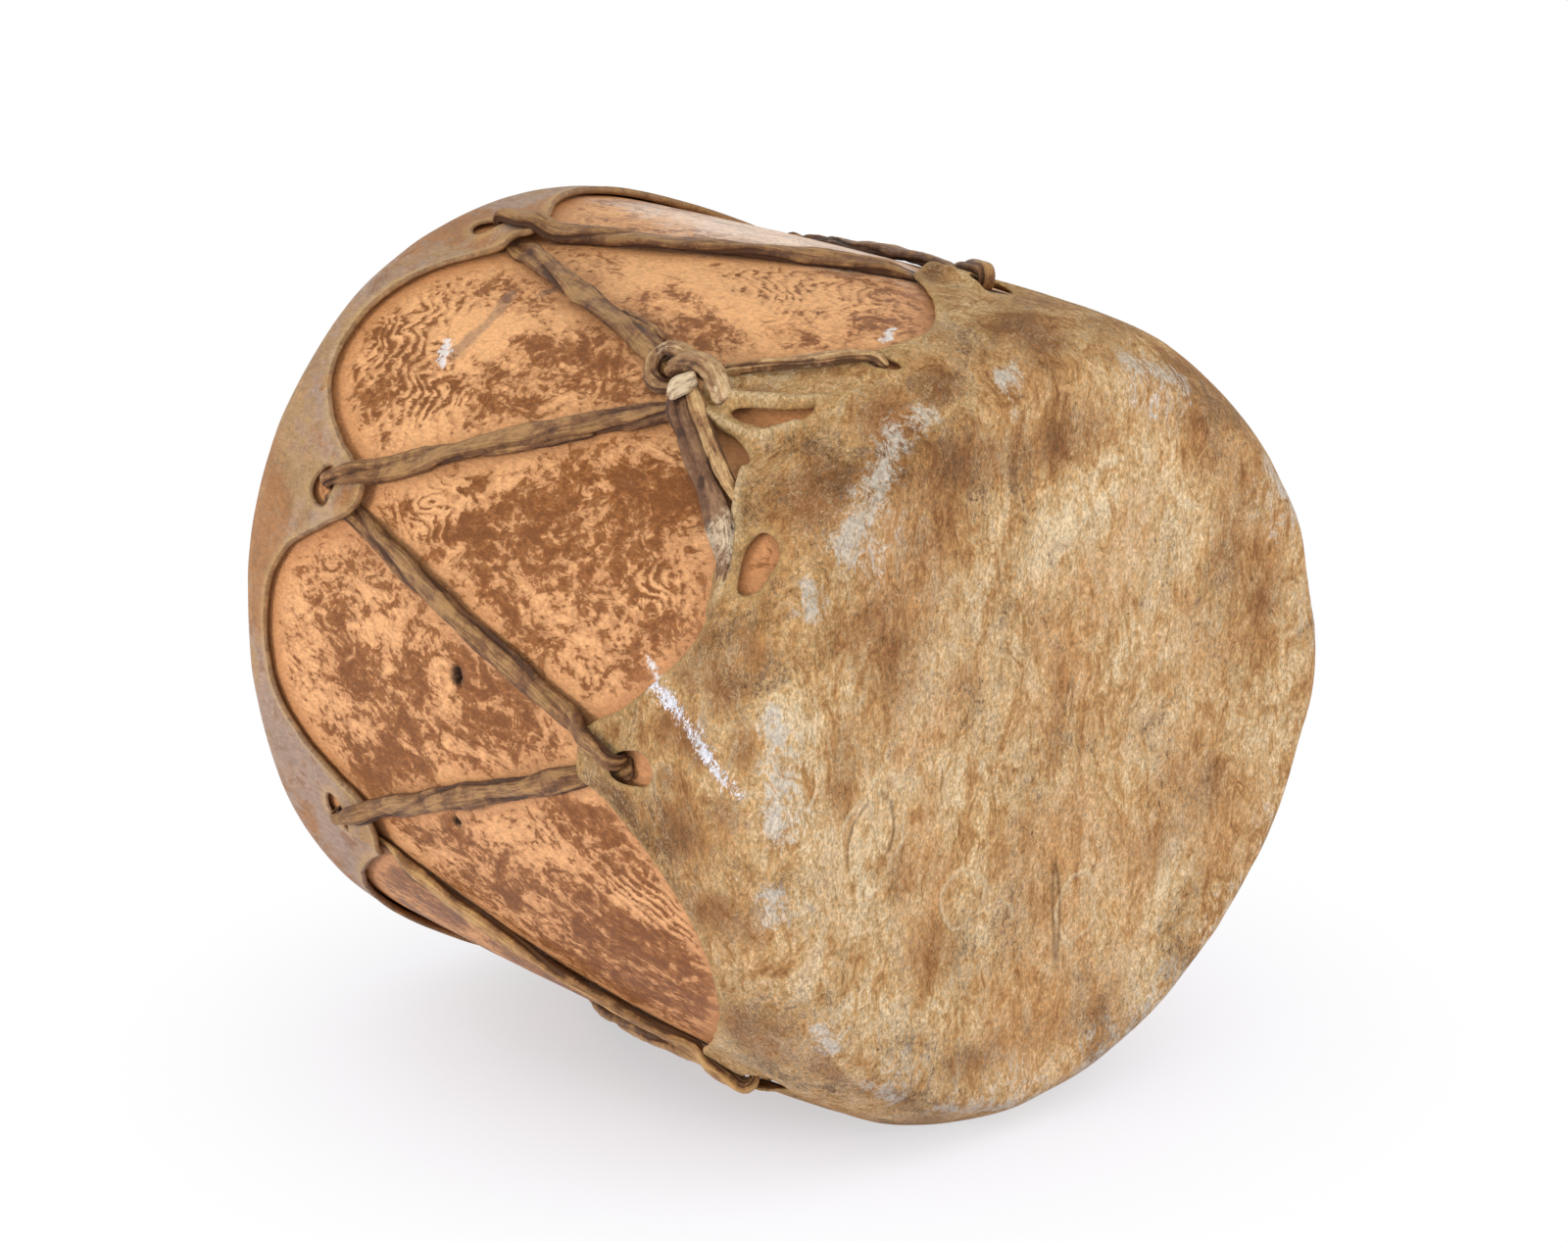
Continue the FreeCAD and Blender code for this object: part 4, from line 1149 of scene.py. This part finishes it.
wood = {
    "pale": (0.76, 0.400, 0.172), "tan": (0.49, 0.226, 0.088), "brown": (0.250, 0.082, 0.012),
    "paintedSheen": (0.90, 0.70, 0.55),
    "deep": (0.160, 0.046, 0.005), "sheltered": (0.52, 0.225, 0.085), "chalk": (0.78, 0.74, 0.70),
    "smear": (0.20, 0.125, 0.085), "pit": (0.03, 0.012, 0.006), "bump": 0.0011,
}


def paintWood():
    s = Surface("scrapedWood")
    drift = s.noise(10, 1.5, 0.5, 0.5, stretch=(0.55, 1, 1))
    swirl = s.noise(34, 2, 0.5, 0.8, stretch=(0.6, 1, 1), shift=(3.1, 0, 0))
    ragged = s.noise(380, 4, 0.68, 0.5, stretch=(0.7, 1, 1))
    flake = s.noise(120, 7, 0.72, 1.4, stretch=(0.6, 1, 1), shift=(2.2, 0, 0))
    along = addNode(s.tree, "ShaderNodeSeparateXYZ", {}, {0: s.spot})
    up = addNode(s.tree, "ShaderNodeSeparateXYZ", {}, {0: s.spot}, 2)
    rings = along * 1080 + up * 1240 + drift * 120 + swirl * 56 + s.attribute("ringed") * 16
    rings = (rings + flake * 14 + ragged * 4).maths("SINE")
    rippled = s.between(s.attribute("rippled") + s.noise(25, 3).swing(0.8), 0.1, 0.9)
    rings = rings * (rippled * 0.75 + 0.12)
    patches = s.noise(30, 9, 0.7, 1.2, stretch=(0.65, 1, 1), shift=(0, 2.2, 0))
    broad = s.noise(9, 2, 0.5, 0.2, shift=(5, 1, 0))
    shelter = s.attribute("shelter")
    stain = patches.swing(7.0) + broad.swing(2.6) + rings + ragged.swing(3.6) + flake.swing(6.6)
    stain = stain + s.attribute("patinaAndPaintedLight") * 0.95 - shelter * (ragged * 1.6 + 0.3) - 0.08
    dark = s.between(stain, 0.0, 0.14)
    deep = s.between(stain + ragged.swing(1.5), 0.3, 1.1)
    pale = s.between(stain * -1 + flake.swing(2), -0.1, 1.3) * (1 - shelter * 0.85)
    colour = s.mix(pale * 0.95, wood["tan"], wood["pale"])
    # painted sheen: the top of the log lighter and paler, with the dark patches held back there
    paintedSheen = s.between(s.attribute("paintedSheen") + patches.swing(2), 0.2, 1.0)
    colour = s.mix(paintedSheen * 0.95, colour, wood["paintedSheen"])
    colour = s.mix(dark * (0.85 - paintedSheen * 0.62), colour, wood["brown"])
    colour = s.mix(deep * (0.8 - paintedSheen * 0.6), colour, wood["deep"])
    colour = s.mix(shelter * 0.5, colour, wood["sheltered"])
    smeared = s.between(s.attribute("smeared") + flake.swing(1.6), 0.2, 0.8)
    colour = s.mix(smeared * 0.5, colour, wood["smear"])
    grain = s.between(s.noise(900, 3, 0.65, stretch=(0.5, 1, 1)), 0.36, 0.64)
    colour = s.shade(colour, grain * 0.24 + s.noise(60, 3) * 0.2 + 0.78)
    marked = s.attribute("nick")
    nick = s.between(marked + s.noise(420, 3, 0.7).swing(3.2), 0.35, 0.8) * s.between(marked, 0.05, 0.25)
    colour = s.mix(nick * 0.85, colour, wood["chalk"])
    colour = s.mix(s.attribute("hollow"), colour, wood["pit"])
    rough = 0.50 + dark * -0.12 + s.noise(120, 2) * 0.1
    height = dark * -0.09 + pale * 0.1 + s.noise(800, 4, 0.65, stretch=(0.4, 1, 1)) * 0.4 + ragged * 0.5
    s.finish(colour, rough, height, wood["bump"], ["logWood"], specular=0.18)


hide = {
    "tan": (0.73, 0.46, 0.20), "ochre": (0.54, 0.285, 0.098), "brown": (0.34, 0.146, 0.046),
    "light": (0.95, 0.755, 0.46), "orange": (0.66, 0.33, 0.125), "grit": (0.16, 0.076, 0.028),
    "russet": (0.27, 0.105, 0.042),
    "scuff": (0.74, 0.67, 0.55), "chalk": (0.95, 0.94, 0.97), "edge": (0.66, 0.42, 0.17), "bump": 0.0026,
}


def ring(s, centre, radii, lean, width):   # a band round an ellipse on the played face, millimetres
    middle = toFrame(np.array([[log["half"], *centre]]))[0]
    moved = addNode(s.tree, "ShaderNodeMapping", {"vector_type": "TEXTURE"},
                    {"Vector": s.spot, "Location": tuple(middle), "Rotation": (math.radians(lean), 0, 0),
                     "Scale": (10, radii[0] * lying["millimetre"], radii[1] * lying["millimetre"])})
    reach = addNode(s.tree, "ShaderNodeVectorMath", {"operation": "LENGTH"}, {0: moved}, 1)
    away = (reach + s.noise(50, 3).swing(0.9) - 1).maths("ABSOLUTE")
    return (1 - s.between(away, 0.0, width)) * s.between(s.noise(75, 2, shift=(0, 0, 9)), 0.34, 0.5)


def hairLines(s, scale, width, shift):   # thin curling lines, where a noise passes its middle
    away = (s.noise(scale, 3, 0.65, 2.5, stretch=(1, 1, 0.6), shift=shift) - 0.5).maths("ABSOLUTE")
    return 1 - s.between(away, 0.0, width)


def paintPlayedHide():
    s = Surface("playedRawhide")
    inset = s.attribute("inset")
    flat = s.attribute("flat")
    stained = s.attribute("stain")
    cloud = s.noise(12, 3, 0.5, 0.4)
    mottle = s.noise(42, 9, 0.72, 1.0, stretch=(1, 1, 0.6))
    fleck = s.noise(130, 8, 0.76, 1.8, stretch=(1, 1, 0.55), shift=(1.7, 0, 0))
    fibre = s.noise(520, 4, 0.75, 2.6, stretch=(1, 1, 0.45), shift=(0, 4, 0))
    pore = s.noise(330, 3, 0.6, 1.0, shift=(7, 0, 3))
    tone = cloud.swing(2.3) + mottle.swing(5.2) + fleck.swing(7.5)
    tone = tone + flat * 0.22 - stained * 0.45 - 0.08
    colour = s.mix(s.between(tone, -1.5, -0.5), hide["brown"], hide["ochre"])
    colour = s.mix(s.between(tone, -0.6, 0.25), colour, hide["tan"])
    colour = s.mix(s.between(tone + fibre.swing(4.0), 0.15, 1.25) * 0.9, colour, hide["light"])
    rosy = s.noise(18, 4, 0.6, 0.6, shift=(0, 0, 7))
    colour = s.mix(s.between(rosy + fleck.swing(0.8), 0.48, 0.64) * 0.42, colour, hide["orange"])
    worn = s.noise(20, 8, 0.68, 0.9, shift=(4, 4, 0))
    russet = s.between(stained + fleck.swing(3.4) + mottle.swing(3.0) + worn.swing(2.0), 0.15, 0.85)
    colour = s.mix(russet * (0.50 - flat * 0.24), colour, hide["russet"])
    smudge = s.between(worn + fleck.swing(0.9) + fibre.swing(0.5) - flat * 0.05 + stained * 0.06, 0.55, 0.72)
    colour = s.mix(smudge * 0.48, colour, hide["brown"])
    grit = s.between(fibre + fleck.swing(0.5) + worn.swing(1.1) - flat * 0.03 + stained * 0.03, 0.60, 0.68)
    colour = s.mix(grit * 0.7, colour, hide["grit"])
    pores = s.between(pore + worn.swing(0.5), 0.66, 0.72)
    colour = s.mix(pores * 0.7, colour, hide["grit"])
    darkLines = hairLines(s, 110, 0.013, (0, 3, 0)) * s.between(worn + stained * 0.05, 0.44, 0.58)
    colour = s.mix(darkLines * 0.65, colour, hide["grit"])
    paleLines = hairLines(s, 170, 0.022, (6, 0, 0)) * s.between(mottle, 0.42, 0.55)
    colour = s.mix(paleLines * 0.6, colour, hide["light"])
    rubbed = s.attribute("scuff")
    scuff = s.between(rubbed + fleck.swing(5.0) + fibre.swing(2.6), 0.36, 1.25)
    scuff = scuff * s.between(rubbed, 0.04, 0.3)
    colour = s.mix(scuff * 0.8, colour, hide["scuff"])
    edge = 1 - s.between(inset + fleck.swing(6), 0.2, 3.6)
    colour = s.mix(edge * 0.5, colour, hide["edge"])
    rolled = s.attribute("rolled")
    colour = s.mix(s.between(rolled + fibre.swing(2.4) + fleck.swing(2), 0.4, 1.1) * 0.42, colour,
                   hide["light"])
    dusted = s.attribute("chalk")
    chalk = s.between(dusted + fibre.swing(3.4) + fleck.swing(3.6), 0.66, 0.92)
    chalk = chalk * s.between(dusted, 0.04, 0.3)
    colour = s.mix(chalk, colour, hide["chalk"])
    folds = ring(s, (-86, -13), (13, 20), -19, 0.13) * 1.2 + ring(s, (-45, -46), (10, 10), 14, 0.16)
    folds = folds + ring(s, (9, -64), (10, 12), -8, 0.13) + ring(s, (-32, -60), (11, 9), 20, 0.13)
    creases = ring(s, (-87, -14), (9, 15), -19, 0.14) + ring(s, (-1, -62), (1.6, 15), 3, 0.7)
    creases = creases + ring(s, (2, 9), (1.4, 13), -7, 0.7)
    # folds paint a highlight on the raised wrinkle rings, and creases paint shade along the creases
    colour = s.mix(folds * 0.5, colour, hide["light"])
    colour = s.mix(creases * 0.6, colour, hide["grit"])
    grain = s.between(s.noise(900, 2, 0.6, 0.5, stretch=(1, 1, 0.7)), 0.34, 0.66)
    # the term with flat is painted shade that makes the played face darker
    colour = s.shade(colour, grain * 0.36 + s.between(fibre, 0.36, 0.64) * 0.28 + 0.71 - flat * 0.09)
    rough = 0.58 + fleck * 0.16 - grit * 0.08
    height = fibre * 0.4 + fleck * 0.9 + mottle * 0.8 + folds * 0.4 - creases * 0.3
    height = (height + paleLines * 0.05 - darkLines * 0.08 - pores * 0.06) * (1 - flat * 0.3)
    s.finish(colour, rough, height, hide["bump"], ["playedHide"], specular=0.15)


farHide = {
    "mauve": (0.38, 0.250, 0.172), "tan": (0.42, 0.240, 0.098), "orange": (0.37, 0.158, 0.042),
    "brown": (0.185, 0.080, 0.028), "edge": (0.56, 0.35, 0.13), "bump": 0.0018,
}


def paintFarHide():
    s = Surface("farRawhide")
    inset = s.attribute("inset")
    cloud = s.noise(13, 6, 0.65, 0.6)
    blotch = s.noise(42, 8, 0.7, 0.7, shift=(2, 0, 0))
    fibre = s.noise(560, 3, 0.7, 1.2, stretch=(0.5, 1, 1))
    fleck = s.noise(170, 6, 0.74, 1.0)
    colour = s.mix(s.between(cloud + blotch.swing(0.8) + fleck.swing(0.4), 0.42, 0.58), farHide["tan"],
                   farHide["mauve"])
    warm = s.between(s.noise(23, 4, 0.55, 0.6, shift=(0, 6, 0)) + fleck.swing(0.5), 0.46, 0.6)
    colour = s.mix(warm * 0.9, colour, farHide["orange"])
    colour = s.mix(s.between(blotch + fleck.swing(0.7), 0.52, 0.68) * 0.7, colour, farHide["brown"])
    edge = 1 - s.between(inset + fleck.swing(4), 1.2, 5.2)
    colour = s.mix(edge * 0.45, colour, farHide["edge"])
    # painted shade: a dark line along the cut edge where the hide meets the wood
    rim = 1 - s.between(inset + fleck.swing(1.5), -0.2, 0.5)
    colour = s.mix(rim * 0.75, colour, farHide["brown"])
    colour = s.shade(colour, s.between(fibre, 0.36, 0.64) * 0.26 + fleck * 0.8 + blotch * 1.2 - 0.16)
    rough = 0.46 + fleck * 0.2
    height = fibre * 0.3 + fleck * 0.5 + blotch * 0.9
    s.finish(colour, rough, height, farHide["bump"], ["farHide"], specular=0.4)


thongTones = {
    # deep also paints the shade in grooves and undersides, and worn also paints the highlight on tops
    "run": {"deep": (0.080, 0.031, 0.011), "body": (0.190, 0.080, 0.028), "worn": (0.43, 0.235, 0.082)},
    # a lit copy of the run colours: painted light for the lowest runs, which lie in shade
    "paintedLightGolden": {"deep": (0.115, 0.048, 0.015), "body": (0.34, 0.165, 0.055), "worn": (0.66, 0.39, 0.135)},
    "dark": {"deep": (0.070, 0.030, 0.015), "body": (0.165, 0.074, 0.034), "worn": (0.32, 0.175, 0.085)},
    "knot": {"deep": (0.105, 0.045, 0.019), "body": (0.29, 0.145, 0.060), "worn": (0.58, 0.37, 0.170)},
    "ochre": {"deep": (0.115, 0.050, 0.019), "body": (0.34, 0.170, 0.064), "worn": (0.66, 0.43, 0.190)},
}
thongPaint = {"frayed": (0.74, 0.59, 0.39), "fibreShare": 0.085, "bump": 0.0016}   # fibres run along a thong


def paintThong(toneName, pieces):
    tone = thongTones[toneName]
    s = Surface(f"{toneName}Thong")
    # worn carries wear and painted light: each thong's top lighter, its grooves and underside darker
    worn = s.attribute("worn")
    blotch = s.noise(80, 4, 0.6, 0.5)
    fleck = s.noise(460, 4, 0.7, 0.8)
    along = s.attribute("along") * thongPaint["fibreShare"]
    s.spot = addNode(s.tree, "ShaderNodeCombineXYZ", {},
                     {0: along, 1: s.attribute("acrossX"), 2: s.attribute("acrossY")})
    fibre = s.noise(1.2, 4, 0.7, 0.6)
    streak = s.noise(0.75, 4, 0.65, 0.8)
    level = worn * 1.5 - 0.45 + blotch.swing(2.4) + fleck.swing(1.6) + streak.swing(1.2)
    colour = s.mix(s.between(level, 0.0, 0.55), tone["deep"], tone["body"])
    colour = s.mix(s.between(level + fibre.swing(1.8), 0.45, 1.4) * 0.85, colour, tone["worn"])
    pale = s.between(s.attribute("paleness") + fleck.swing(2.0) + fibre.swing(1.5), 0.2, 0.9)
    colour = s.mix(pale * s.between(s.attribute("paleness"), 0.02, 0.3) * 0.8, colour, thongPaint["frayed"])
    colour = s.shade(colour, fibre * 1.0 + 0.5)
    rough = 0.34 + fleck * 0.24
    height = fibre * 0.4 + fleck * 0.4 + streak * 0.6
    s.finish(colour, rough, height, thongPaint["bump"], pieces, specular=0.27)


paintWood()
paintPlayedHide()
paintFarHide()
# the lowest runs take the lit copy: painted light
paintedLightRuns = ["thongRun06", "thongRun07"]
plainRuns = [f"thongRun{number:02d}" for number in range(1, len(runBows) + 1)]
plainRuns = [name for name in plainRuns if name not in paintedLightRuns]
paintThong("run", plainRuns + ["spliceTail1", "spliceTail2", "spliceTail3"])
paintThong("paintedLightGolden", paintedLightRuns)
paintThong("dark", ["broadStrand"])
paintThong("knot", ["knotLoop", "knotStrand"])
paintThong("ochre", ["narrowStrand", "slitStrand", "cutStub"])
print("materials painted")


# STAGE: pale floor, white surroundings and soft studio light

stage = {
    "floorSize": 14.0, "floorColour": (0.87, 0.85, 1.0), "worldStrength": 0.8,
    "whiteAtDrum": 0.50, "whiteFrom": 0.05, "whiteTo": 0.27,   # reaches in metres from the middle
    "lamps": {"keyLamp": ((1.3, 0.9, 2.0), 1.6, 9.0), "lowLamp": ((-0.6, -2.1, 0.15), 0.9, 30.0),
              "faceLamp": ((2.3, -0.2, 0.8), 1.2, 18.0)},
}


def seenWhite(tree):   # one for rays from the camera, or off or through a surface
    rays = addNode(tree, "ShaderNodeLightPath")
    glossy = Wire(tree, rays.socket.node.outputs["Is Glossy Ray"])
    passing = Wire(tree, rays.socket.node.outputs["Is Transmission Ray"])
    return (rays + glossy + passing).maths("MINIMUM", 1)


def makeFloor():
    half = stage["floorSize"] / 2
    mesh = bpy.data.meshes.new("floor")
    mesh.from_pydata([(-half, -half, 0), (half, -half, 0), (half, half, 0), (-half, half, 0)], [],
                     [(0, 1, 2, 3)])
    floor = bpy.data.objects.new("floor", mesh)
    bpy.context.scene.collection.objects.link(floor)
    material = bpy.data.materials.new("floorPaper")
    material.use_nodes = True
    tree = material.node_tree
    shader = tree.nodes["Principled BSDF"]
    shader.inputs["Base Color"].default_value = (*stage["floorColour"], 1)
    shader.inputs["Roughness"].default_value = 0.9
    shader.inputs["Specular IOR Level"].default_value = 0.0
    spot = addNode(tree, "ShaderNodeTexCoord", output=3)
    away = addNode(tree, "ShaderNodeVectorMath", {"operation": "LENGTH"}, {0: spot}, 1)
    fade = addNode(tree, "ShaderNodeMapRange", {"interpolation_type": "SMOOTHSTEP"},
                   {"Value": away, "From Min": stage["whiteFrom"], "From Max": stage["whiteTo"]})
    white = addNode(tree, "ShaderNodeEmission", {}, {"Color": (1, 1, 1, 1), "Strength": 1.0})
    lifted = fade * (1 - stage["whiteAtDrum"]) + stage["whiteAtDrum"]
    blend = addNode(tree, "ShaderNodeMixShader", {}, {0: seenWhite(tree) * lifted, 2: white})
    tree.links.new(shader.outputs[0], blend.socket.node.inputs[1])
    tree.links.new(blend.socket, tree.nodes["Material Output"].inputs["Surface"])
    mesh.materials.append(material)


def makeLamp(name, place, size, power):
    data = bpy.data.lights.new(name, "AREA")
    data.shape = "DISK"
    data.size = size
    data.energy = power
    lamp = bpy.data.objects.new(name, data)
    bpy.context.scene.collection.objects.link(lamp)
    lamp.location = place
    lamp.rotation_euler = (Vector((0, 0, 0.12)) - Vector(place)).to_track_quat("-Z", "Y").to_euler()


def makeWorld():
    world = bpy.data.worlds.new("surroundings")
    bpy.context.scene.world = world
    world.use_nodes = True
    tree = world.node_tree
    background = tree.nodes["Background"]
    strength = seenWhite(tree) * (1 - stage["worldStrength"]) + stage["worldStrength"]
    background.inputs["Color"].default_value = (1, 1, 1, 1)
    tree.links.new(strength.socket, background.inputs["Strength"])


makeFloor()
makeWorld()
for lampName, (place, size, power) in stage["lamps"].items():
    makeLamp(lampName, place, size, power)
bpy.context.scene.view_settings.view_transform = "Standard"
print("stage lit")
